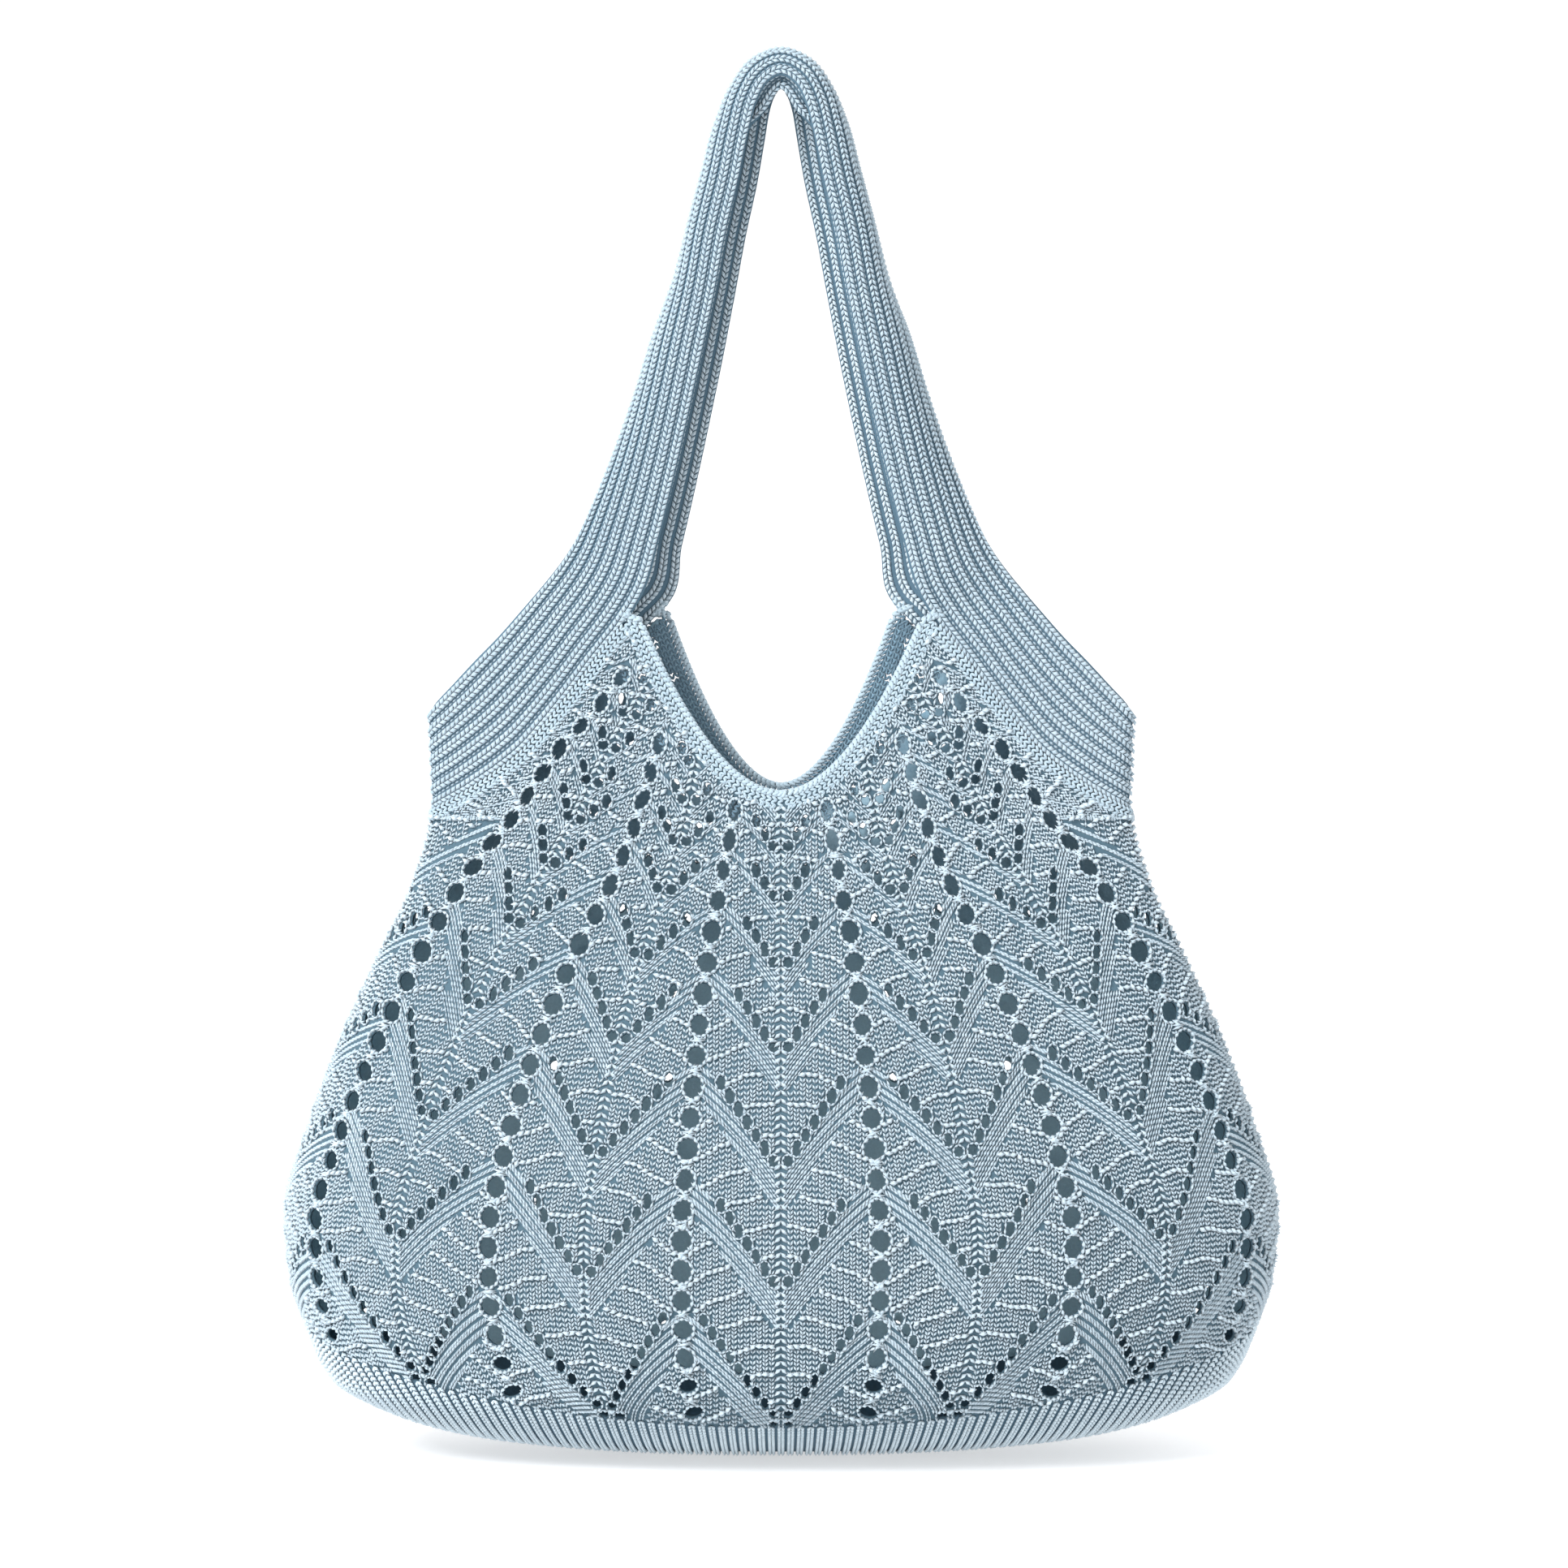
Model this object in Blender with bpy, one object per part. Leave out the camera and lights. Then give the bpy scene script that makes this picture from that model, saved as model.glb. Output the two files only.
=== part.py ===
"""Crochet shoulder bag: two lace panels, a ribbed base, two neck edges and one ribbed strap band.

The bag hangs from its strap. The origin is under the back handle, where it hangs, and +Z is up.
The front faces -Y and +X is to the right. Heights are given as drops below the origin.
"""

import functools
import math

import bmesh
import bpy
import numpy as np

# Overall sizes, in metres
BAG_WIDTH = 0.399
BAG_DEPTH = 0.140
BAG_DROP = 0.5555
SECTION_ROUNDNESS = 2.3

# Walls, cords and clearance
LACE_WALL = 0.0025
BASE_WALL = 0.0030
BAND_WALL = 0.0030
EDGE_THICKNESS = 0.0036
GAP = 0.0003
BAND_GAP = 0.0009

# Where the lace meets the base: lowest at the centre, higher at the sides
BASE_SEAM_DROP = 0.9658 * BAG_DROP
BASE_SEAM_RISE = 0.0684 * BAG_DROP
BASE_SEAM_CURVE = 2.2

# Neckline of each panel, and the side fold where the band turns
NECK_LOW_DROP = 0.522 * BAG_DROP
NECK_HIGH_DROP = 0.397 * BAG_DROP
NECK_HALF_FRONT = 0.0580
NECK_HALF_BACK = 0.0470
NECK_CURVE = 1.95
NECK_CORNER = 0.0030
SIDE_LOW_DROP = 0.536 * BAG_DROP

# Band and its ribs
BAND_WIDTH = 0.030
RIBS = 7
RIB_RELIEF = 0.0009
BAND_DEPTH = 0.0155

# Eyelets: each starts narrow, is full halfway and ends narrow, within its share of the height
EYELET_WIDTH = 0.008
EYELET_NARROW = 0.45
EYELET_LEVELS = ((0.25, EYELET_NARROW, True), (0.5, 1.0, True), (0.75, EYELET_NARROW, False))
EYELETS_PER_COLUMN = 8
EYELET_COLUMNS = (0.172, 0.51, 0.85)
YOKE_EYELET_LEVELS = (4, 6)

# Body profile: drop as a share of BAG_DROP, width and depth as shares of the bag's
BODY_COLUMNS = ("drop", "width", "depth")
BODY_ROWS = (
    (0.000, 0.707, 0.214),
    (0.395, 0.707, 0.214),
    (0.465, 0.707, 0.214),
    (0.534, 0.704, 0.229),
    (0.582, 0.737, 0.314),
    (0.636, 0.807, 0.486),
    (0.699, 0.887, 0.686),
    (0.762, 0.952, 0.857),
    (0.825, 1.000, 0.971),
    (0.870, 0.990, 1.000),
    (0.915, 0.952, 0.957),
    (0.946, 0.907, 0.871),
    (0.968, 0.805, 0.720),
    (0.984, 0.665, 0.530),
    (0.995, 0.450, 0.310),
    (1.000, 0.260, 0.160),
)

# Armhole seam: rise as a share of the height from the side fold to the neck corner,
# spread as a share of the way from the corner out to the fold; lean is the angle of the
# line across the band from level, width a share of BAND_WIDTH, then the band's two tilts
ARM_COLUMNS = ("rise", "spread", "lean", "width", "tilt_in", "tilt_out")
ARM_ROWS = (
    (0.00, 1.000, 88, 1.33, 0, 0),
    (0.14, 0.768, 77, 1.38, 0, 8),
    (0.32, 0.530, 66, 1.40, 2, 10),
    (0.51, 0.370, 63, 1.33, 2, 14),
    (0.72, 0.209, 57, 1.28, 2, 20),
    (0.87, 0.104, 49, 1.22, 2, 26),
    (1.00, 0.000, 41, 1.20, 1, 31),
)

# Handles, from the neck corner up to the top: inner edge of the front handle as shares of
# NECK_HALF_FRONT and NECK_HIGH_DROP, lean and width as above, tilts in degrees and depth as
# a share of BAND_DEPTH. The back handle nests inside, by a share of BAND_WIDTH.
HANDLE_COLUMNS = ("side", "drop", "lean", "width", "tilt_in", "tilt_out", "depth",
                  "nest", "back_tilt_in", "back_tilt_out", "back_depth")
HANDLE_ROWS = (
    (0.955, 0.951, 31, 1.17, 0, 38, 1.00, 0.367, 0, 38, 1.00),
    (0.833, 0.849, 22, 1.13, -5, 50, 1.03, 0.317, -5, 50, 1.03),
    (0.717, 0.727, 19, 1.07, -8, 71, 1.03, 0.300, -6, 65, 1.03),
    (0.617, 0.613, 17, 1.05, -10, 84, 1.00, 0.287, -8, 80, 1.00),
    (0.534, 0.513, 17, 1.04, -12, 94, 0.97, 0.280, -10, 92, 0.97),
    (0.447, 0.403, 16, 1.00, -14, 115, 0.90, 0.267, -12, 110, 0.90),
    (0.371, 0.296, 15, 1.00, -15, 130, 0.84, 0.267, -14, 125, 0.84),
    (0.286, 0.205, 15, 1.00, -15, 135, 0.77, 0.250, -16, 135, 0.81),
    (0.221, 0.123, 18, 1.00, -12, 145, 0.71, 0.233, -20, 150, 0.74),
    (0.164, 0.067, 30, 1.05, -4, 163, 0.72, 0.210, -36, 205, 0.40),
    (0.095, 0.033, 55, 1.08, 1, 172, 0.73, 0.200, -40, 218, 0.35),
    (0.000, 0.019, 90, 1.10, 5, 175, 0.73, 0.190, -40, 220, 0.34),
)

# Facets
SECTION_SAMPLES = 97
NORMAL_SHARE_STEP = 0.01
NORMAL_DROP_STEP = 0.002
SHARP_ANGLE = 40
FIRST_YOKE_LEVEL = 0.35
YOKE_STEPS = 8
BASE_LEVELS = (0.0, 0.22, 0.44, 0.64, 0.80, 0.92, 1.0)
EDGE_SIDES = 8
BAND_INSIDE = (0, 4, 7, 10, 14)

FRONT, BACK = -1, 1


def smooth(at, xs, ys):
    """A curve through the rows that never overshoots them."""
    xs, ys = np.asarray(xs, float), np.asarray(ys, float)
    steps = np.diff(xs)
    slopes = np.diff(ys) / steps
    tangents = np.zeros(len(xs))
    same = slopes[:-1] * slopes[1:] > 0
    before, after = slopes[:-1][same], slopes[1:][same]
    tangents[1:-1][same] = 2 * before * after / (before + after)
    tangents[0], tangents[-1] = slopes[0], slopes[-1]
    at = min(max(at, xs[0]), xs[-1])
    row = min(int(np.searchsorted(xs, at, side="right")) - 1, len(xs) - 2)
    step = steps[row]
    t = (at - xs[row]) / step
    return float(
        ys[row] * (1 + 2 * t) * (1 - t) ** 2
        + tangents[row] * step * t * (1 - t) ** 2
        + ys[row + 1] * t * t * (3 - 2 * t)
        + tangents[row + 1] * step * t * t * (t - 1)
    )


def column(columns, rows, name):
    return [row[columns.index(name)] for row in rows]


def body_size(drop):
    """Half width and half depth of the body at this drop."""
    share = drop / BAG_DROP
    drops = column(BODY_COLUMNS, BODY_ROWS, "drop")
    width = smooth(share, drops, column(BODY_COLUMNS, BODY_ROWS, "width"))
    depth = smooth(share, drops, column(BODY_COLUMNS, BODY_ROWS, "depth"))
    return width * BAG_WIDTH / 2, depth * BAG_DEPTH / 2


@functools.lru_cache(maxsize=None)
def section(drop):
    """A quarter of the body's section, from the centre to the side: girth, x and y."""
    half_width, half_depth = body_size(drop)
    turn = np.linspace(0, math.pi / 2, SECTION_SAMPLES)
    power = 2 / SECTION_ROUNDNESS
    x = half_width * np.sin(turn) ** power
    y = half_depth * np.maximum(np.cos(turn), 0) ** power
    y[-1] = 0
    girth = np.concatenate([[0], np.cumsum(np.hypot(np.diff(x), np.diff(y)))])
    return girth, x, y


def skin(side, share, drop):
    """The point of the body's surface at a share of the quarter girth, -1 to 1 across a side."""
    if abs(share) > 1:
        side, share = -side, math.copysign(2 - abs(share), share)
    girth, x, y = section(round(drop, 6))
    at = abs(share) * girth[-1]
    across = math.copysign(np.interp(at, girth, x), share)
    return np.array([across, side * np.interp(at, girth, y), -drop])


def skin_normal(side, share, drop):
    """Outward direction of the body's surface."""
    step, height = NORMAL_SHARE_STEP, NORMAL_DROP_STEP
    across = skin(side, share + step, drop) - skin(side, share - step, drop)
    up = skin(side, share, drop - height) - skin(side, share, drop + height)
    normal = np.cross(across, up) * -side
    return normal / np.linalg.norm(normal)


def share_at(drop, x):
    """The share of the quarter girth at this distance from the centre."""
    girth, xs, _ = section(round(drop, 6))
    return float(np.interp(x, xs, girth) / girth[-1])


def neck_half(side):
    return NECK_HALF_FRONT if side == FRONT else NECK_HALF_BACK


def neck_x(side, drop):
    """Half width of the neckline at this drop."""
    height = (NECK_LOW_DROP - drop) / (NECK_LOW_DROP - NECK_HIGH_DROP)
    return neck_half(side) * min(max(height, 0), 1) ** (1 / NECK_CURVE)


def rise_of(drop):
    return (SIDE_LOW_DROP - drop) / (SIDE_LOW_DROP - NECK_HIGH_DROP)


def arm_value(name, rise):
    rises = column(ARM_COLUMNS, ARM_ROWS, "rise")
    return smooth(rise, rises, column(ARM_COLUMNS, ARM_ROWS, name))


def seam_x(side, drop):
    """Distance from the centre to the armhole seam at this drop."""
    corner = neck_half(side) + NECK_CORNER
    fold = body_size(SIDE_LOW_DROP)[0]
    return corner + (fold - corner) * arm_value("spread", rise_of(drop))


def base_seam(share):
    return BASE_SEAM_DROP - BASE_SEAM_RISE * min(abs(share), 1) ** BASE_SEAM_CURVE


def yoke_drops():
    """Drops of the levels from the side fold to the neck corner, closest where the neckline turns."""
    height = NECK_LOW_DROP - NECK_HIGH_DROP
    to_neck = SIDE_LOW_DROP - NECK_LOW_DROP
    levels = [SIDE_LOW_DROP, SIDE_LOW_DROP - FIRST_YOKE_LEVEL * to_neck]
    return levels + [NECK_LOW_DROP - height * (k / YOKE_STEPS) ** 2 for k in range(YOKE_STEPS + 1)]


def lace_columns():
    """Column lines of half a panel, centre to side: share and, beside an eyelet, which side."""
    lines = [(0.0, 0)]
    last = 0.0
    for centre in EYELET_COLUMNS:
        if last:
            lines.append(((last + centre) / 2, 0))
        lines += [(centre, -1), (centre, 1)]
        last = centre
    return lines + [((last + 1.0) / 2, 0), (1.0, 0)]


def column_share(line, wide, drop, inner, outer):
    """Share of the girth of a column line, between the neckline and the panel's edge."""
    room = outer - inner
    girth = section(round(drop, 6))[0][-1]
    return inner + room * (line[0] + line[1] * wide * EYELET_WIDTH / 2 / girth)


def seam_share(line):
    """Share of the girth where a column line meets the base."""
    return column_share(line, EYELET_NARROW, BASE_SEAM_DROP, 0, 1)


def lace_levels():
    """Levels from the base seam up: height share, eyelet width share, and whether a gap starts."""
    levels = [(0.0, EYELET_NARROW, False)]
    for k in range(EYELETS_PER_COLUMN):
        for at, wide, gap in EYELET_LEVELS:
            levels.append(((k + at) / EYELETS_PER_COLUMN, wide, gap))
    return levels


def lace_point(side, x_sign, share, drop):
    """Outer and inner points of the lace wall."""
    outer = skin(side, x_sign * share, drop)
    return outer, outer - skin_normal(side, x_sign * share, drop) * LACE_WALL


def lace_rows(side):
    """Rows of a panel from the base up: for each sign of x, the wall's points by column, and gaps."""
    lines = lace_columns()
    rows = []
    for height, wide, gap in lace_levels():
        row = {"gap": gap, "split": False, -1: [], 1: []}
        for line in lines:
            bottom = base_seam(seam_share(line)) - GAP / 2
            drop = bottom + height * (SIDE_LOW_DROP - bottom)
            edge = 1 - GAP / 2 / section(round(drop, 6))[0][-1]
            share = column_share(line, wide, drop, 0, edge) if height else min(seam_share(line), edge)
            for sign in (-1, 1):
                row[sign].append(lace_point(side, sign, share, drop))
        rows.append(row)
    for level, drop in enumerate(yoke_drops()):
        edge = 1 - GAP / 2 / section(round(drop, 6))[0][-1]
        outer = min(share_at(drop, seam_x(side, drop)), edge) if level else edge
        inner = share_at(drop, neck_x(side, drop))
        gap = level in YOKE_EYELET_LEVELS
        row = {"gap": gap, "split": drop < NECK_LOW_DROP - 1e-9, -1: [], 1: []}
        for line in lines:
            share = column_share(line, 1.0 if gap else EYELET_NARROW, drop, inner, outer)
            for sign in (-1, 1):
                row[sign].append(lace_point(side, sign, share, drop))
        rows.append(row)
    return rows


def new_object(name, mesh_data, material):
    mesh = bpy.data.meshes.new(name)
    mesh_data.to_mesh(mesh)
    mesh_data.free()
    mesh.materials.append(material)
    mesh.shade_smooth()
    mesh.set_sharp_from_angle(angle=math.radians(SHARP_ANGLE))
    made = bpy.data.objects.new(name, mesh)
    bpy.context.scene.collection.objects.link(made)
    return made


def yarn(name, colour, roughness):
    material = bpy.data.materials.new(name)
    material.use_nodes = True
    shader = material.node_tree.nodes["Principled BSDF"]
    shader.inputs["Base Color"].default_value = (*colour, 1)
    shader.inputs["Roughness"].default_value = roughness
    shader.inputs["Metallic"].default_value = 0
    return material


def solid_from_cells(points, cells):
    """A closed solid from wall cells: points holds (outer, inner) by key, cells lists rings of keys."""
    shape = bmesh.new()
    outer = {key: shape.verts.new(pair[0]) for key, pair in points.items()}
    inner = {key: shape.verts.new(pair[1]) for key, pair in points.items()}
    edges = {}
    for ring in cells:
        shape.faces.new([outer[key] for key in ring])
        shape.faces.new([inner[key] for key in reversed(ring)])
        for a, b in zip(ring, ring[1:] + ring[:1]):
            edges[(a, b)] = edges.get((a, b), 0) + 1
    for a, b in edges:
        if (b, a) not in edges:
            shape.faces.new([outer[b], outer[a], inner[a], inner[b]])
    loose = [vert for vert in shape.verts if not vert.link_faces]
    bmesh.ops.delete(shape, geom=loose, context="VERTS")
    bmesh.ops.recalc_face_normals(shape, faces=shape.faces)
    return shape


def is_gap(rows, row, line):
    lines = lace_columns()
    beside_eyelet = lines[line][1] == -1 and lines[line + 1][1] == 1
    in_yoke = row >= len(lace_levels())
    last_column = lines[line][0] == EYELET_COLUMNS[-1]
    return rows[row]["gap"] and beside_eyelet and (last_column or not in_yoke)


def lace_panel(name, side, material):
    rows = lace_rows(side)
    points, cells = {}, []

    def key(row, sign, line):
        if line == 0 and not rows[row]["split"]:
            return (row, 0, 0)
        return (row, sign, line)

    for row, content in enumerate(rows):
        for sign in (-1, 1):
            for line, pair in enumerate(content[sign]):
                points[key(row, sign, line)] = pair
    for row in range(len(rows) - 1):
        for sign in (-1, 1):
            for line in range(len(rows[row][sign]) - 1):
                if is_gap(rows, row, line):
                    continue
                ring = [key(row, sign, line), key(row, sign, line + 1)]
                ring += [key(row + 1, sign, line + 1), key(row + 1, sign, line)]
                cells.append(ring if sign > 0 else ring[::-1])
    return new_object(name, solid_from_cells(points, cells), material)


def base_ring(level):
    """Points round the base at one level, front right to side, then back, and so on round."""
    shares = [seam_share(line) for line in lace_columns()]
    quarter = [(FRONT, share) for share in shares] + [(BACK, share) for share in shares[-2::-1]]
    whole = quarter + [(side, -share) for side, share in quarter[-2:0:-1]]
    ring = []
    for side, share in whole:
        top = base_seam(share) + GAP / 2
        drop = top + level * (BAG_DROP - top)
        outer = skin(side, share, drop)
        inward = -skin_normal(side, share, min(drop, BAG_DROP - BASE_WALL))
        ring.append((outer, outer + inward * BASE_WALL))
    return ring


def base_band(material):
    rings = [base_ring(level) for level in BASE_LEVELS]
    floor = [(outer, np.array([inner[0], inner[1], BASE_WALL - BAG_DROP])) for outer, inner in rings[-1]]
    rings[-1] = floor
    count = len(floor)
    points = {(row, k): pair for row, ring in enumerate(rings) for k, pair in enumerate(ring)}
    last = len(rings) - 1
    centre = np.array([0, 0, -BAG_DROP])
    points["centre"] = (centre, centre + np.array([0, 0, BASE_WALL]))
    cells = []
    for k in range(count):
        after = (k + 1) % count
        for row in range(last):
            cells.append([(row, k), (row, after), (row + 1, after), (row + 1, k)])
        cells.append([(last, k), (last, after), "centre"])
    return new_object("base_band", solid_from_cells(points, cells), material)


def neckline(side):
    """Middle of the lace wall along the neckline, left corner to right, with the surface's outward way."""
    found = []
    for drop in reversed(yoke_drops()[2:]):
        share = share_at(drop, neck_x(side, drop))
        outer, inner = lace_point(side, -1, share, drop)
        found.append(((outer + inner) / 2, skin_normal(side, -share, drop)))
    flip = np.array([-1, 1, 1])
    return found + [(point * flip, normal * flip) for point, normal in found[-2::-1]]


def neck_edge(name, side, material):
    """The thick chain edge along a neckline, a round cord set against the lace."""
    line = neckline(side)
    radius = EDGE_THICKNESS / 2
    points = [point for point, _ in line]
    shape = bmesh.new()
    rings = []
    for k, (point, normal) in enumerate(line):
        along = points[min(k + 1, len(points) - 1)] - points[max(k - 1, 0)]
        along /= np.linalg.norm(along)
        into = np.cross(normal, along)
        into *= math.copysign(1, into[2])
        into /= np.linalg.norm(into)
        centre = point + into * (radius + GAP)
        out = np.cross(along, into)
        ring = []
        for turn in range(EDGE_SIDES):
            angle = 2 * math.pi * (turn + 0.5) / EDGE_SIDES
            ring.append(shape.verts.new(centre + radius * (math.cos(angle) * into + math.sin(angle) * out)))
        rings.append(ring)
    for before, after in zip(rings, rings[1:]):
        for k in range(EDGE_SIDES):
            nxt = (k + 1) % EDGE_SIDES
            shape.faces.new([before[k], before[nxt], after[nxt], after[k]])
    shape.faces.new(rings[0])
    shape.faces.new(rings[-1])
    bmesh.ops.recalc_face_normals(shape, faces=shape.faces)
    return new_object(name, shape, material)


def across_band(inner, y, side, lean, width, tilt_in, tilt_out):
    """Middle surface of the band on one line across it, from its inner edge: a curl that starts
    at tilt_in and ends at tilt_out, both in degrees, turning backwards on the front handle."""
    lean, tilt_in, tilt_out = (math.radians(angle) for angle in (lean, tilt_in, tilt_out))
    samples = 2 * RIBS + 1
    line = [np.array([inner[0], y, inner[1]])]
    for k in range(samples - 1):
        tilt = tilt_in + (tilt_out - tilt_in) * (k + 0.5) / (samples - 1)
        step = width / (samples - 1)
        out = step * math.cos(tilt)
        move = np.array([out * math.cos(lean), -side * step * math.sin(tilt), out * math.sin(lean)])
        line.append(line[-1] + move)
    return line


def arm_line(side, drop):
    """The band's line across at an armhole level, set against the lace with a gap."""
    rise = rise_of(drop)
    share = min(share_at(drop, seam_x(side, drop)), 1.0)
    point = skin(side, share, drop) - skin_normal(side, share, drop) * LACE_WALL / 2
    lean = arm_value("lean", rise)
    angle = math.radians(lean)
    inner = (point[0] + BAND_GAP * math.cos(angle), point[2] + BAND_GAP * math.sin(angle))
    width = arm_value("width", rise) * BAND_WIDTH
    tilts = arm_value("tilt_in", rise), arm_value("tilt_out", rise)
    return across_band(inner, point[1], side, lean, width, *tilts)


def handle_line(side, row):
    """The band's line across at one row of the handle table."""
    value = dict(zip(HANDLE_COLUMNS, row))
    x = value["side"] * NECK_HALF_FRONT
    z = -value["drop"] * NECK_HIGH_DROP
    angle = math.radians(value["lean"])
    prefix = ""
    if side == BACK:
        prefix = "back_"
        nest = value["nest"] * BAND_WIDTH
        x -= nest * math.cos(angle)
        z -= nest * math.sin(angle)
    y = side * value[prefix + "depth"] * BAND_DEPTH
    tilts = value[prefix + "tilt_in"], value[prefix + "tilt_out"]
    return across_band((x, z), y, side, value["lean"], value["width"] * BAND_WIDTH, *tilts)


def band_lines():
    """Lines across the closed band: up the front left, over, down to the right fold, and back."""
    loop = []
    for side in (FRONT, BACK):
        quarter = [arm_line(side, drop) for drop in yoke_drops()]
        quarter += [handle_line(side, row) for row in HANDLE_ROWS]
        quarter = np.array(quarter)
        if side == BACK:
            quarter[0] = loop[0] * np.array([-1, 1, 1])
        left = quarter * np.array([-1, 1, 1])
        climb, fall = (left, quarter) if side == FRONT else (quarter, left)
        loop += list(climb[0 if side == FRONT else 1:]) + list(fall[-2:0:-1])
        if side == FRONT:
            loop.append(fall[0])
    return np.array(loop)


def strap_band(material):
    middle = band_lines()
    along = np.roll(middle, -1, axis=0) - np.roll(middle, 1, axis=0)
    across = np.gradient(middle, axis=1)
    normal = np.cross(along, across)
    normal /= np.linalg.norm(normal, axis=2, keepdims=True)
    ribs = np.arange(middle.shape[1]) % 2
    rise = BAND_WALL / 2 - RIB_RELIEF * (1 - ribs)
    outer = middle + normal * rise[None, :, None]
    inner = middle - normal * (BAND_WALL / 2)
    inside = [k for k in BAND_INSIDE if k < middle.shape[1] - 1] + [middle.shape[1] - 1]
    shape = bmesh.new()
    rings = []
    for station in range(len(middle)):
        ring = [shape.verts.new(point) for point in outer[station]]
        ring += [shape.verts.new(inner[station, k]) for k in reversed(inside)]
        rings.append(ring)
    size = len(rings[0])
    for station, ring in enumerate(rings):
        after = rings[(station + 1) % len(rings)]
        for k in range(size):
            nxt = (k + 1) % size
            shape.faces.new([ring[k], ring[nxt], after[nxt], after[k]])
    bmesh.ops.recalc_face_normals(shape, faces=shape.faces)
    return new_object("strap_band", shape, material)


def main():
    for old in list(bpy.data.objects):
        bpy.data.objects.remove(old, do_unlink=True)
    lace = yarn("lace_yarn", (0.42, 0.56, 0.66), 0.85)
    ribbed = yarn("rib_yarn", (0.40, 0.54, 0.64), 0.85)
    edging = yarn("edge_yarn", (0.46, 0.60, 0.70), 0.8)
    lace_panel("lace_front", FRONT, lace)
    lace_panel("lace_back", BACK, lace)
    base_band(ribbed)
    neck_edge("neck_edge_front", FRONT, edging)
    neck_edge("neck_edge_back", BACK, edging)
    strap_band(ribbed)


main()
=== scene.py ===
# A light blue lace shoulder bag, knitted in cotton yarn.
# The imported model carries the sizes; this script knits the yarn over it, stitch by stitch.
# Everything is in metres, +Z up, with the front towards -Y.

import math

import bmesh
import bpy
import numpy as np
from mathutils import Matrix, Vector, geometry


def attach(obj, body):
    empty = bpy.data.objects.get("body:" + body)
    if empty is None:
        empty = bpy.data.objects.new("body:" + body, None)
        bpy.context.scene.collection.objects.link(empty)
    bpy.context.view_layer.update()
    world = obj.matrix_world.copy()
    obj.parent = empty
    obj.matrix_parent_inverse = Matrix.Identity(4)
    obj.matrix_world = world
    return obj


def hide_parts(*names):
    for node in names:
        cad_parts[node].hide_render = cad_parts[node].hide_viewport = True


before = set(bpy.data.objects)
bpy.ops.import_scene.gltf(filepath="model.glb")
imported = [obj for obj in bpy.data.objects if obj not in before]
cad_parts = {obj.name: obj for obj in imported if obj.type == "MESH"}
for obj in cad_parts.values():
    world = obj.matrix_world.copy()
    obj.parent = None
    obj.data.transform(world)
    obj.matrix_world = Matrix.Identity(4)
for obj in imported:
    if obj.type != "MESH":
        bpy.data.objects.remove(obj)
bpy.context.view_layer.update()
rng = np.random.default_rng(7)
mm = 0.001
front, back = -1, 1
print("frame loaded")


# The camera, the floor and the light

cameraValues = {
    "target": (0.0012, 0.0, -0.2856),
    "distance": 2.6,
    "elevation": 6.0,  # degrees above level
    "lens": 149.43,
    "sensor": 36.0,
    "clipEnd": 100.0,
}

lightValues = {
    "worldStrength": 1.08,
    "keyPower": 90.0,
    "keySize": 1.1,
    "keyPlace": (-1.5, -1.6, 1.2),
    "fillPower": 4.0,
    "fillSize": 1.6,
    "fillPlace": (1.5, -1.4, 0.3),
    "floorDrop": 0.5575,
    "floorSize": 30.0,
    "floorColour": (0.62, 0.62, 0.63),
    "floorRoughness": 0.9,
    "floorGlow": 0.5,  # the table is lit from below
}


def addObject(name, data):
    made = bpy.data.objects.new(name, data)
    bpy.context.scene.collection.objects.link(made)
    return made


def setInputs(node, values):
    for label, value in values.items():
        node.inputs[label].default_value = value
    return node


def addNode(tree, kind, values=None):
    return setInputs(tree.nodes.new(kind), values or {})


def cameraPlace():
    rise = math.radians(cameraValues["elevation"])
    away = Vector((0, -math.cos(rise), math.sin(rise))) * cameraValues["distance"]
    return Vector(cameraValues["target"]) + away


def aim(made, place):
    # stands a camera or a light there and turns it to the bag
    made.location = place
    towards = Vector(cameraValues["target"]) - made.location
    made.rotation_euler = towards.to_track_quat("-Z", "Y").to_euler()


def makeCamera():
    data = bpy.data.cameras.new("camera")
    data.lens = cameraValues["lens"]
    data.sensor_width = cameraValues["sensor"]
    data.clip_end = cameraValues["clipEnd"]
    camera = addObject("camera", data)
    aim(camera, cameraPlace())
    bpy.context.scene.camera = camera
    bpy.context.scene.view_settings.view_transform = "Standard"


def makeAreaLight(label):
    data = bpy.data.lights.new(label + "Light", "AREA")
    data.shape = "DISK"
    data.size = lightValues[label + "Size"]
    data.energy = lightValues[label + "Power"]
    aim(addObject(label + "Light", data), lightValues[label + "Place"])


def makeStudio():
    world = bpy.data.worlds.new("studio")
    bpy.context.scene.world = world
    world.use_nodes = True
    white = (1, 1, 1, 1)
    setInputs(world.node_tree.nodes["Background"], {
        "Color": white,
        "Strength": lightValues["worldStrength"],
    })
    makeAreaLight("key")
    makeAreaLight("fill")
    half, low = lightValues["floorSize"] / 2, -lightValues["floorDrop"]
    corners = [(x * half, y * half, low) for x, y in ((-1, -1), (1, -1), (1, 1), (-1, 1))]
    mesh = bpy.data.meshes.new("floor")
    mesh.from_pydata(corners, [], [(0, 1, 2, 3)])
    paint = bpy.data.materials.new("floorPaint")
    paint.use_nodes = True
    setInputs(paint.node_tree.nodes["Principled BSDF"], {
        "Base Color": (*lightValues["floorColour"], 1),
        "Roughness": lightValues["floorRoughness"],
        "Emission Color": white,
        "Emission Strength": lightValues["floorGlow"],
    })
    mesh.materials.append(paint)
    addObject("floor", mesh)


# Cotton yarn

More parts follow.
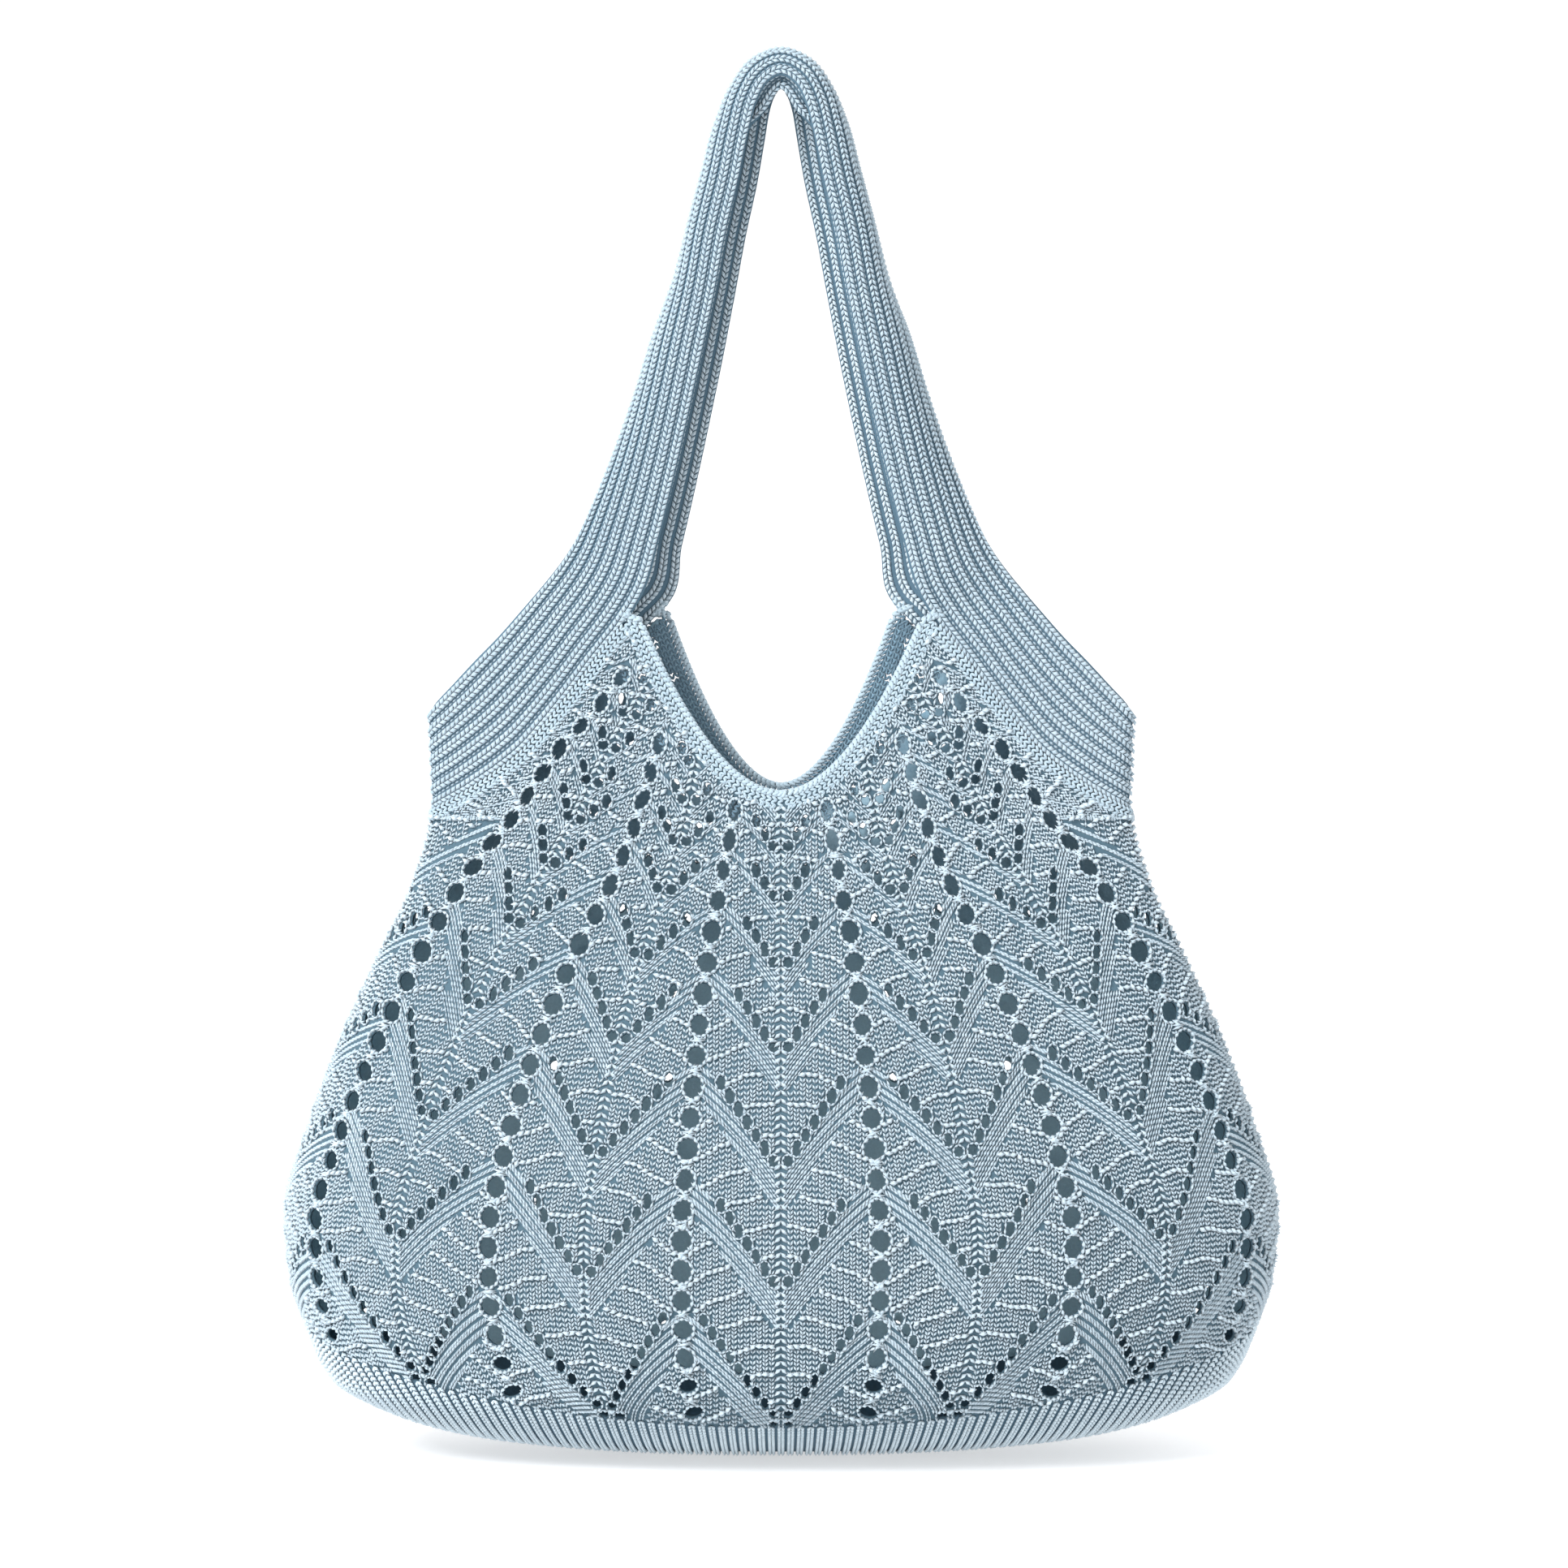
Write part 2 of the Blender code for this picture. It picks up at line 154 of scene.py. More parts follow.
yarnColours = {  # light, deep and sheen of each yarn
    "laceYarn": ((0.515, 0.615, 0.68), (0.31, 0.405, 0.475), 0.35),
    # painted shade: a near-black yarn for the sheet under the lace stitches, standing for the shade
    # in the gaps between them
    "lacePaintedShadeYarn": ((0.065, 0.115, 0.15), (0.065, 0.115, 0.15), 0),
    # painted light and shade: the inside of the lace is lighter than the yarn itself, as light
    # falling in, and its deep end is painted shade
    "laceInsidePaintedLightShadeYarn": ((0.66, 0.88, 0.97), (0.14, 0.25, 0.33), 0.35),
    "ribYarn": ((0.40, 0.49, 0.55), (0.25, 0.345, 0.415), 0.35),
    "baseYarn": ((0.58, 0.68, 0.735), (0.38, 0.48, 0.55), 0.35),
    # painted shade: a near-black yarn for the shells under the base and strap stitches, standing
    # for the shade between the ribs
    "ribPaintedShadeYarn": ((0.07, 0.125, 0.17), (0.07, 0.125, 0.17), 0),
    "edgeYarn": ((0.40, 0.495, 0.555), (0.26, 0.36, 0.43), 0.35),
    # painted shade: a dark yarn for the chains down the inside of the neck, standing for the shade
    # inside the bag
    "neckInsidePaintedShadeYarn": ((0.14, 0.25, 0.33), (0.07, 0.125, 0.17), 0.35),
}

yarnValues = {
    "roughness": 0.85,
    "sheenRoughness": 0.6,
    "shine": 0.25,
    "tintWeight": 0.55,  # how much the stitch's tint, its random tone and its painted light and shade, moves the colour from light to deep
    "fadeWeight": 0.45,
    "fadeScale": 22.0,
    "fadeDetail": 2,
    "fibreWeight": 0.35,
    "fibreScale": 900.0,
    "fibreDetail": 3,
    "fibreBump": 0.35,
    "fibreHeight": 0.4 * mm,
}


def addNoise(tree, label, place):
    noise = addNode(tree, "ShaderNodeTexNoise", {
        "Scale": yarnValues[label + "Scale"],
        "Detail": yarnValues[label + "Detail"],
    })
    tree.links.new(place.outputs["Object"], noise.inputs["Vector"])
    return noise


def makeYarnMaterial(name, light, deep, sheen):
    # light yarn with deeper threads: the stitch's tint, which also carries painted light and shade,
    # soft fading over the bag, and fibres
    value = yarnValues
    material = bpy.data.materials.new(name)
    material.use_nodes = True
    tree = material.node_tree
    link = tree.links.new
    place = addNode(tree, "ShaderNodeTexCoord")
    fade = addNoise(tree, "fade", place)
    fibre = addNoise(tree, "fibre", place)
    tint = addNode(tree, "ShaderNodeAttribute")
    tint.attribute_name = "tint"
    # each source swings about its middle, and their sum about a half
    weights = [value[label + "Weight"] for label in ("tint", "fade", "fibre")]
    total = None
    for source, weight in zip((tint, fade, fibre), weights):
        added = addNode(tree, "ShaderNodeMath", {1: weight, 2: 0.5 - sum(weights) / 2})
        added.operation = "MULTIPLY_ADD"
        link(source.outputs["Fac"], added.inputs[0])
        if total:
            link(total.outputs[0], added.inputs[2])
        total = added
    ramp = addNode(tree, "ShaderNodeValToRGB")
    for end, colour in zip(ramp.color_ramp.elements, (light, deep)):
        end.color = (*colour, 1)
    bump = addNode(tree, "ShaderNodeBump", {
        "Strength": value["fibreBump"],
        "Distance": value["fibreHeight"],
    })
    shader = setInputs(tree.nodes["Principled BSDF"], {
        "Roughness": value["roughness"],
        "Sheen Weight": sheen,
        "Sheen Roughness": value["sheenRoughness"],
        "Specular IOR Level": value["shine"],
    })
    link(total.outputs[0], ramp.inputs["Fac"])
    link(ramp.outputs["Color"], shader.inputs["Base Color"])
    link(fibre.outputs["Fac"], bump.inputs["Height"])
    link(bump.outputs["Normal"], shader.inputs["Normal"])
    return material


# The body's shape

bodyValues = {
    "width": 0.399,
    "depth": 0.140,
    "drop": 0.5555,
    "roundness": 2.3,
    "topDrop": 0.200,
    "tableRows": 420,  # the table of sections: its levels, and its places round a quarter
    "tablePlaces": 161,
    "turnSteps": 193,
    "frameStep": 1.5 * mm,
    "laceMiddle": 1.25 * mm,  # how deep the middle of the lace wall lies
}

bodyRows = (  # drop share, width share, depth share
    (0.000, 0.707, 0.214),
    (0.395, 0.707, 0.214),
    (0.465, 0.707, 0.214),
    (0.534, 0.704, 0.229),
    (0.582, 0.737, 0.314),
    (0.636, 0.807, 0.486),
    (0.699, 0.887, 0.686),
    (0.762, 0.952, 0.857),
    (0.825, 1.000, 0.971),
    (0.870, 0.990, 1.000),
    (0.915, 0.952, 0.957),
    (0.946, 0.907, 0.871),
    (0.968, 0.805, 0.720),
    (0.984, 0.665, 0.530),
    (0.995, 0.450, 0.310),
    (1.000, 0.260, 0.160),
)

neckValues = {
    "lowDrop": 0.2900,
    "highDrop": 0.2205,
    "halfFront": 0.0580,
    "halfBack": 0.0470,
    "curve": 1.95,
    "corner": 0.0030,
    "sideLow": 0.2977,
}

seamValues = {"drop": 0.5365, "rise": 0.038, "curve": 2.2}


def smoothRows(at, xs, ys):
    # a curve through the rows that never overshoots them
    xs, ys = np.asarray(xs, float), np.asarray(ys, float)
    steps = np.diff(xs)
    slopes = np.diff(ys) / steps
    tangents = np.zeros(len(xs))
    same = slopes[:-1] * slopes[1:] > 0
    before, after = slopes[:-1][same], slopes[1:][same]
    tangents[1:-1][same] = 2 * before * after / (before + after)
    tangents[0], tangents[-1] = slopes[0], slopes[-1]
    at = np.clip(np.asarray(at, float), xs[0], xs[-1])
    row = np.clip(np.searchsorted(xs, at, side="right") - 1, 0, len(xs) - 2)
    step = steps[row]
    t = (at - xs[row]) / step
    start, end = ys[row] * (1 + 2 * t) * (1 - t) ** 2, ys[row + 1] * t * t * (3 - 2 * t)
    leave = tangents[row] * step * t * (1 - t) ** 2
    arrive = tangents[row + 1] * step * t * t * (t - 1)
    return start + end + leave + arrive


tableDrops = np.linspace(bodyValues["topDrop"], bodyValues["drop"], bodyValues["tableRows"])
tableShares = np.linspace(0, 1, bodyValues["tablePlaces"])


def makeSkinTable():
    # x and y of the section at each drop, by the share of the quarter girth
    share, width, depth = (np.array(column) for column in zip(*bodyRows))
    halfWidth = smoothRows(tableDrops / bodyValues["drop"], share, width) * bodyValues["width"] / 2
    halfDepth = smoothRows(tableDrops / bodyValues["drop"], share, depth) * bodyValues["depth"] / 2
    turn = np.linspace(0, math.pi / 2, bodyValues["turnSteps"])
    power = 2 / bodyValues["roundness"]
    xs, ys, girths = [], [], []
    for wide, deep in zip(halfWidth, halfDepth):
        x = wide * np.sin(turn) ** power
        y = deep * np.maximum(np.cos(turn), 0) ** power
        y[-1] = 0
        girth = np.concatenate([[0], np.cumsum(np.hypot(np.diff(x), np.diff(y)))])
        girths.append(girth[-1])
        xs.append(np.interp(tableShares * girth[-1], girth, x))
        ys.append(np.interp(tableShares * girth[-1], girth, y))
    return np.array(xs), np.array(ys), np.array(girths), halfWidth


skinX, skinY, skinGirth, skinHalfWidth = makeSkinTable()


def girthAt(drop):
    return np.interp(drop, tableDrops, skinGirth)


def skinPoint(side, around, drop):
    # a point this far round from the middle of a side; past the fold it goes on behind
    around, drop = np.broadcast_arrays(np.asarray(around, float), np.asarray(drop, float))
    share = np.abs(around) / girthAt(drop)
    past = share > 1
    side = np.where(past, -side, side)
    share = np.where(past, 2 - share, share)
    row = (drop - tableDrops[0]) / (tableDrops[1] - tableDrops[0])
    row = np.clip(row, 0, len(tableDrops) - 1.001)
    col = np.clip(share * (len(tableShares) - 1), 0, len(tableShares) - 1.001)
    r, c = row.astype(int), col.astype(int)
    fr, fc = row - r, col - c

    def look(table):
        top = table[r, c] * (1 - fc) + table[r, c + 1] * fc
        low = table[r + 1, c] * (1 - fc) + table[r + 1, c + 1] * fc
        return top * (1 - fr) + low * fr

    return np.stack([np.sign(around) * look(skinX), side * look(skinY), -drop], axis=-1)


def unit(vectors):
    return vectors / np.maximum(np.linalg.norm(vectors, axis=-1, keepdims=True), 1e-12)


def skinFrame(side, around, drop):
    # point, way across, way up and way out
    step = bodyValues["frameStep"]
    point = skinPoint(side, around, drop)
    across = unit(skinPoint(side, around + step, drop) - skinPoint(side, around - step, drop))
    up = unit(skinPoint(side, around, drop - step) - skinPoint(side, around, drop + step))
    out = unit(np.cross(across, up)) * -side
    return point, across, up, out


def seamDrop(share):
    # the seam between lace and base rises towards the sides
    curve = np.minimum(np.abs(share), 1) ** seamValues["curve"]
    return seamValues["drop"] - seamValues["rise"] * curve


# The yoke's edges

armRows = (  # rise share, spread share, lean, width share, tilt in, tilt out
    (0.00, 1.000, 88, 1.33, 0, 0),
    (0.14, 0.768, 77, 1.38, 0, 8),
    (0.32, 0.530, 66, 1.40, 2, 10),
    (0.51, 0.370, 63, 1.33, 2, 14),
    (0.72, 0.209, 57, 1.28, 2, 20),
    (0.87, 0.104, 49, 1.22, 2, 26),
    (1.00, 0.000, 41, 1.20, 1, 31),
)


def neckHalf(side):
    return neckValues["halfFront"] if side == front else neckValues["halfBack"]


def neckX(side, drop):
    height = (neckValues["lowDrop"] - drop) / (neckValues["lowDrop"] - neckValues["highDrop"])
    return neckHalf(side) * np.clip(height, 0, 1) ** (1 / neckValues["curve"])


def riseAt(drop):
    return (neckValues["sideLow"] - drop) / (neckValues["sideLow"] - neckValues["highDrop"])


def armValue(column, rise):
    rows = np.array(armRows, float)
    return smoothRows(rise, rows[:, 0], rows[:, column])


foldX = float(np.interp(neckValues["sideLow"], tableDrops, skinHalfWidth))


def armX(side, drop):
    corner = neckHalf(side) + neckValues["corner"]
    return corner + (foldX - corner) * armValue(1, riseAt(drop))


def aroundAtX(drop, x):
    # distance round the bag at this x, from the middle of the side
    level = np.rint((drop - tableDrops[0]) / (tableDrops[1] - tableDrops[0])).astype(int)
    level = np.clip(level, 0, len(tableDrops) - 1)
    return np.array([
        np.interp(own, skinX[row], tableShares * skinGirth[row])
        for own, row in zip(np.ravel(x), np.ravel(level))
    ])


edgeDrops = np.linspace(neckValues["highDrop"], neckValues["sideLow"], 80)
edgeTables = {}
for panelSide in (front, back):
    neckAround = aroundAtX(edgeDrops, neckX(panelSide, edgeDrops))
    armAround = np.minimum(aroundAtX(edgeDrops, armX(panelSide, edgeDrops)), girthAt(edgeDrops))
    edgeTables[panelSide] = (neckAround, armAround)


def neckEdge(side, drop):
    edge = np.interp(drop, edgeDrops, edgeTables[side][0])
    return np.where(drop >= neckValues["lowDrop"], 0, edge)


def armEdge(side, drop):
    edge = np.interp(drop, edgeDrops, edgeTables[side][1])
    return np.where(drop >= neckValues["sideLow"], girthAt(drop), edge)


# Stitches: small yarn lozenges set on points by geometry nodes

def makeStitchTree():
    tree = bpy.data.node_groups.new("yarnStitches", "GeometryNodeTree")
    for label, way, kind in (
        ("Geometry", "INPUT", "Geometry"), ("Sides", "INPUT", "Int"), ("Rings", "INPUT", "Int"),
        ("Yarn", "INPUT", "Material"), ("Geometry", "OUTPUT", "Geometry"),
    ):
        tree.interface.new_socket(label, in_out=way, socket_type="NodeSocket" + kind)
    start, end = addNode(tree, "NodeGroupInput"), addNode(tree, "NodeGroupOutput")
    lozenge = addNode(tree, "GeometryNodeMeshUVSphere", {"Radius": 0.5})
    lay = addNode(tree, "GeometryNodeTransform", {"Rotation": (0, math.radians(-90), 0)})
    place = addNode(tree, "GeometryNodeInstanceOnPoints")
    turn = addNode(tree, "FunctionNodeAxesToRotation")
    turn.primary_axis = "Z"
    turn.secondary_axis = "X"
    real = addNode(tree, "GeometryNodeRealizeInstances")
    soft = addNode(tree, "GeometryNodeSetShadeSmooth")
    paint = addNode(tree, "GeometryNodeSetMaterial")
    for label, node, socket in (
        ("out", turn, "Primary Axis"), ("along", turn, "Secondary Axis"), ("size", place, "Scale"),
    ):
        named = addNode(tree, "GeometryNodeInputNamedAttribute", {"Name": label})
        named.data_type = "FLOAT_VECTOR"
        tree.links.new(named.outputs["Attribute"], node.inputs[socket])
    for source, output, node, socket in (
        (start, "Sides", lozenge, "Segments"),
        (start, "Rings", lozenge, "Rings"),
        (lozenge, "Mesh", lay, "Geometry"),
        (lay, "Geometry", place, "Instance"),
        (start, "Geometry", place, "Points"),
        (turn, "Rotation", place, "Rotation"),
        (place, "Instances", real, "Geometry"),
        (real, "Geometry", soft, "Geometry"),
        (soft, "Geometry", paint, "Geometry"),
        (start, "Yarn", paint, "Material"),
        (paint, "Geometry", end, "Geometry"),
    ):
        tree.links.new(source.outputs[output], node.inputs[socket])
    return tree


class StitchList:
    # gathers stitches before they are knitted as one piece
    def __init__(self):
        self.rows = []

    def add(self, point, along, out, size, tint, lift=0.0):
        # size is the length, width and height, each one number or one for every stitch
        count = len(point)
        size = np.stack([np.broadcast_to(part, (count,)) for part in size], axis=-1)
        lifted = point + out * np.broadcast_to(lift, (count,))[:, None]
        self.rows.append((lifted, along, out, size, np.broadcast_to(tint, (count,))))

    def knit(self, name, yarn, sides=3, rings=2):
        # loose points carry how each stitch lies; a lozenge is set on every one
        joined = [np.concatenate(part).astype(np.float32) for part in zip(*self.rows)]
        mesh = bpy.data.meshes.new(name + "Points")
        mesh.vertices.add(len(joined[0]))
        mesh.vertices.foreach_set("co", joined[0].ravel())
        for label, values in zip(("along", "out", "size"), joined[1:4]):
            held = mesh.attributes.new(label, "FLOAT_VECTOR", "POINT")
            held.data.foreach_set("vector", values.ravel())
        held = mesh.attributes.new("tint", "FLOAT", "POINT")
        held.data.foreach_set("value", joined[4])
        points = addObject(name + "Points", mesh)
        modifier = points.modifiers.new("stitches", "NODES")
        modifier.node_group = stitchTree
        choices = {"Sides": sides, "Rings": rings, "Yarn": yarns[yarn]}
        for item in stitchTree.interface.items_tree:
            if item.in_out == "INPUT" and item.name in choices:
                modifier[item.identifier] = choices[item.name]
        points.update_tag()
        graph = bpy.context.evaluated_depsgraph_get()
        mesh = bpy.data.meshes.new_from_object(points.evaluated_get(graph), depsgraph=graph)
        mesh.name = name
        bpy.data.objects.remove(points, do_unlink=True)
        mesh.calc_loop_triangles()
        print(name, len(mesh.loop_triangles), "triangles")
        return addObject(name, mesh)


def handOver(pieces, node):
    # every piece rides on the one body, and the imported node is hidden
    for piece in pieces:
        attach(piece, "root")
    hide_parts(node)


# The lace chart: rows, eyelets and fans

laceValues = {
    "stitchWidth": 2.45 * mm,
    "rowHeight": 1.96 * mm,
    "rows": 172,
    "columns": 40,
    "legLength": 1.32,  # in rows
    "legWidth": 1.3 * mm,
    "legHeight": 1.9 * mm,
    "legTilt": 30.0,
    "legSide": 0.23,  # how far a leg stands from its column's middle, in columns
    "legLift": -0.35 * mm,
    "wave": 0.45 * mm,  # how far a row strays
    "strandLength": (1.6, 2.0),  # in rows
    "strandWidths": (1.1 * mm, 1.55 * mm),
    "strandSide": 0.24,
    "strandLift": -0.45 * mm,
    "hatchTilt": 36.0,
    "hatchBand": 17 * mm,
    "ridgeEvery": 6,  # rows from one purl ridge to the next
    "ridgeLength": 1.5,  # in columns
    "ridgeWidth": 2.5 * mm,
    "ridgeHeight": 2.8 * mm,
    "ridgeLift": (0.65, 1.05),  # millimetres above the legs
    "archShare": 0.34,  # how far a row drops at the fan's edge, as a share of its half width
    "eyeletStart": 6.5 * mm,
    "eyeletPitch": 11.75 * mm,
    "eyeletWidth": 7.8 * mm,
    "eyeletHeight": 8.5 * mm,
    "smallWidth": 3.5 * mm,
    "smallHeight": 5.6 * mm,
    "lowShapes": (0.62, 0.75),  # the two lowest large eyelets of a column are less tall
    "yokeDrop": 0.345,  # in the yoke, over this fade, the large eyelets grow narrow
    "yokeFade": 0.03,
    "yokeNarrow": 0.35,
    "yokeTall": 0.02,
    "chartHeight": 0.33,  # above the seam
    "armAcross": 3.43 * mm,
    "armUp": 4.9 * mm,
    "armStart": 2.9 * mm,
    "armShare": 0.76,  # how much of a fan's height the small eyelets climb
    "armReach": 0.80,  # and how much of its half width they cross
    "sideFanTop": 0.325,
    "firstShape": (1.15, 0.72),  # the lowest of them are wider and less tall
    "smallLean": 6.0,
    "holeEdge": 0.55 * mm,  # stitches keep this far from an eyelet
    "rims": ((1, 12, 1.9 * mm, 0.55 * mm), (0, 8, 1.2 * mm, 0.45 * mm)),  # big, count, width, grow
    "rimHeight": 2.0 * mm,
    "barAngles": (0.95, -1.05, 1.6),
    "barSize": (6.6 * mm, 1.7 * mm, 2.2 * mm),
    "barLift": 0.25 * mm,
    "barReach": 15 * mm,  # eyelets further apart have no strands between them
    "spineHalf": 1.6 * mm,
    "spinePitch": 3.1 * mm,
    "spineStart": 4 * mm,
    "spineTop": 0.32,
    "spineSide": 1.2 * mm,
    "foldSide": 1.35 * mm,  # at the bag's side fold
    "spineSize": (4.1 * mm, 2.1 * mm, 2.3 * mm),
    "spineTilt": 48.0,
    "wall": 1.6 * mm,
    "sink": 0.7 * mm,  # the backing lies this far under the stitches
    "meshStep": 4.6 * mm,
    "meshHalf": 0.26,
    "meshLow": 0.55,
    "paintedShadeLow": 0.37,  # painted shade: from this drop up, over this height, the inside darkens by this much
    "paintedShadeHeight": 0.09,
    "paintedShadeTint": 1.3,
    "backShift": (0.052, -0.055, -0.045),  # the back's eyelet columns stand beside the front's
    "dimReach": 6.6 * mm,  # a back eyelet this near to a line of sight is made small or left out
    "dimDrop": 0.35,
}

fanLevels = np.array((6.7, 62, 108.5, 151.7, 183.6, 208.8, 228, 244.5, 260, 275, 290, 305)) * mm

eyeletRows = (  # drop, then the share of the girth of the three eyelet columns
    (0.2205, 0.130, 0.240, 0.385),
    (0.2330, 0.130, 0.260, 0.405),
    (0.2415, 0.130, 0.280, 0.437),
    (0.2510, 0.125, 0.300, 0.490),
    (0.2590, 0.120, 0.318, 0.539),
    (0.2700, 0.118, 0.340, 0.610),
    (0.2850, 0.120, 0.372, 0.683),
    (0.2970, 0.130, 0.395, 0.741),
    (0.3060, 0.140, 0.412, 0.784),
    (0.3150, 0.150, 0.428, 0.812),
    (0.3260, 0.158, 0.446, 0.840),
    (0.3460, 0.169, 0.478, 0.850),
    (0.3800, 0.172, 0.500, 0.850),
    (0.4200, 0.172, 0.510, 0.850),
    (0.5555, 0.172, 0.510, 0.850),
)


def columnAround(index, side, drop):
    # distance round of column lines: 0 the middle, 1 to 3 the eyelet columns, 4 the panel's side
    if index == 0:
        return np.zeros_like(drop)
    if index == 4:
        return armEdge(side, drop)
    rows = np.array(eyeletRows)
    share = smoothRows(drop, rows[:, 0], rows[:, index])
    if side == back:
        share = share + laceValues["backShift"][index - 1]
    return share * girthAt(drop)


def fanSpine(fan, side, drop):
    # fan 0 is centred on the middle, fan 3 on the side fold
    if fan == 0:
        return np.zeros_like(drop)
    if fan == 3:
        return armEdge(side, drop)
    return (columnAround(fan, side, drop) + columnAround(fan + 1, side, drop)) / 2


def fanHalf(fan, side, drop):
    if fan == 0:
        return columnAround(1, side, drop)
    if fan == 3:
        return armEdge(side, drop) - columnAround(3, side, drop)
    return (columnAround(fan + 1, side, drop) - columnAround(fan, side, drop)) / 2


def archAt(off, half):
    return laceValues["archShare"] * off ** 2 / np.maximum(half, 4 * mm)


def dropAtHeight(fan, side, sign, off, height):
    # the drop where a point beside a spine is this high above the base seam
    drop = seamValues["drop"] - height
    for _ in range(4):
        around = fanSpine(fan, side, drop) + sign * off
        share = around / girthAt(drop)
        drop = np.clip(seamDrop(share) - height, bodyValues["topDrop"] + 2 * mm, bodyValues["drop"])
    return drop, fanSpine(fan, side, drop) + sign * off


def insidePanel(side, around, drop, margin):
    level = np.maximum(drop - margin, neckValues["highDrop"])
    neck = np.where(drop < neckValues["lowDrop"] + margin, neckEdge(side, level) + margin, -1)
    share = around / girthAt(drop)
    return (
        (np.abs(around) < armEdge(side, drop) - margin * 1.2)
        & (np.abs(around) > neck)
        & (drop < seamDrop(share) - margin * 0.4)
        & (drop > neckValues["highDrop"] + margin)
    )


def fanSides(fan):
    # signs of the halves of a fan, seen from its spine, on one half of the panel
    return {0: (1,), 3: (-1,)}.get(fan, (-1, 1))


def largeEyelets(side):
    value = laceValues
    holes = []
    heights = np.arange(value["eyeletStart"], value["chartHeight"], value["eyeletPitch"])
    shapes = [*value["lowShapes"], *np.ones(len(heights))]
    for column in (1, 2, 3):
        for height, lower in zip(heights, shapes):
            drop = seamValues["drop"] - height
            for _ in range(4):
                around = columnAround(column, side, np.array([drop]))[0]
                drop = float(seamDrop(around / girthAt(drop))) - height
            low, high = columnAround(column, side, drop + np.array([4, -4]) * mm)
            lean = math.atan2(high - low, 8 * mm)
            yoke = min(max((value["yokeDrop"] - drop) / value["yokeFade"], 0), 1)
            width = value["eyeletWidth"] * (1 - value["yokeNarrow"] * yoke)
            width *= rng.uniform(0.90, 1.08)
            tall = value["eyeletHeight"] * (1 + value["yokeTall"] * yoke) * lower
            tall *= rng.uniform(0.88, 1.08)
            holes.append((around, drop, width / 2, tall / 2, lean + rng.uniform(-0.4, 0.4), 1))
    return holes


def smallEyelets(side, fan, sign):
    # two lines of small eyelets climb out from the spine at each level of a fan
    value = laceValues
    holes = []
    for level, bottom in enumerate(fanLevels[:-1]):
        tall = fanLevels[level + 1] - bottom
        first = -1 if level == 0 else 0
        count = max(2, int(round(value["armShare"] * tall / value["armUp"])))
        for k in range(first, count - first):
            off = value["armStart"] + max(k, 0) * value["armAcross"]
            height = bottom + k * value["armUp"]
            drop, around = dropAtHeight(fan, side, sign, np.array([off]), height)
            if off > value["armReach"] * fanHalf(fan, side, drop)[0]:
                continue
            if fan == 3 and drop[0] < value["sideFanTop"]:
                continue
            wider, lower = value["firstShape"] if k <= 0 else (1, 1)
            width = value["smallWidth"] * wider * rng.uniform(0.88, 1.1)
            high = value["smallHeight"] * lower * rng.uniform(0.9, 1.1)
            lean = sign * math.radians(value["smallLean"])
            holes.append((around[0], drop[0], width / 2, high / 2, lean, 0))
    return holes


def eyeletChart(side):
    # every hole on the right half of a panel: around, drop, half width, half height, lean, large
    holes = largeEyelets(side)
    for fan in range(4):
        for sign in fanSides(fan):
            holes += smallEyelets(side, fan, sign)
    holes = np.array(holes)
    margin = np.maximum(holes[:, 2], holes[:, 3]) + 1.2 * mm
    fits = insidePanel(side, holes[:, 0], holes[:, 1], margin)
    nearSide = np.abs(girthAt(holes[:, 1]) - holes[:, 0]) < margin
    return holes[fits & ~((holes[:, 1] > neckValues["sideLow"]) & nearSide)]


def dimBackHoles(holes, frontHoles):
    # low on the bag the front's eyelets do not look straight out through the back's
    eye = np.array(cameraPlace())
    seen = skinPoint(front, frontHoles[:, 0], frontHoles[:, 1])[None] - eye
    own = skinPoint(back, holes[:, 0], holes[:, 1])[:, None] - eye
    gap = own - seen * (own[..., 1:2] / seen[..., 1:2])
    near = (np.hypot(gap[..., 0], gap[..., 2]) < laceValues["dimReach"]).any(axis=1)
    near &= holes[:, 1] > laceValues["dimDrop"]
    kept = holes.copy()
    kept[near & (holes[:, 5] == 1), 2:4] *= 0.6
    print("eyelets of the back kept small", int(near.sum()), "of", len(holes))
    return kept[~(near & (holes[:, 5] == 0))]


def holeDistance(around, drop, holes):
    # smallest ellipse distance to any hole: under 1 is inside one
    best = np.full(len(around), 9.0)
    for x, y, a, b, lean, _ in holes:
        near = (np.abs(around - x) < 9 * mm) & (np.abs(drop - y) < 9 * mm)
        dx, dy = around[near] - x, y - drop[near]
        cross = dx * math.cos(lean) - dy * math.sin(lean)
        along = dx * math.sin(lean) + dy * math.cos(lean)
        edge = laceValues["holeEdge"]
        best[near] = np.minimum(best[near], np.hypot(cross / (a + edge), along / (b + edge)))
    return best


def turned(across, up, angle):
    # a direction leaning from up towards across, by this angle
    return up * np.cos(angle)[:, None] + across * np.sin(angle)[:, None]


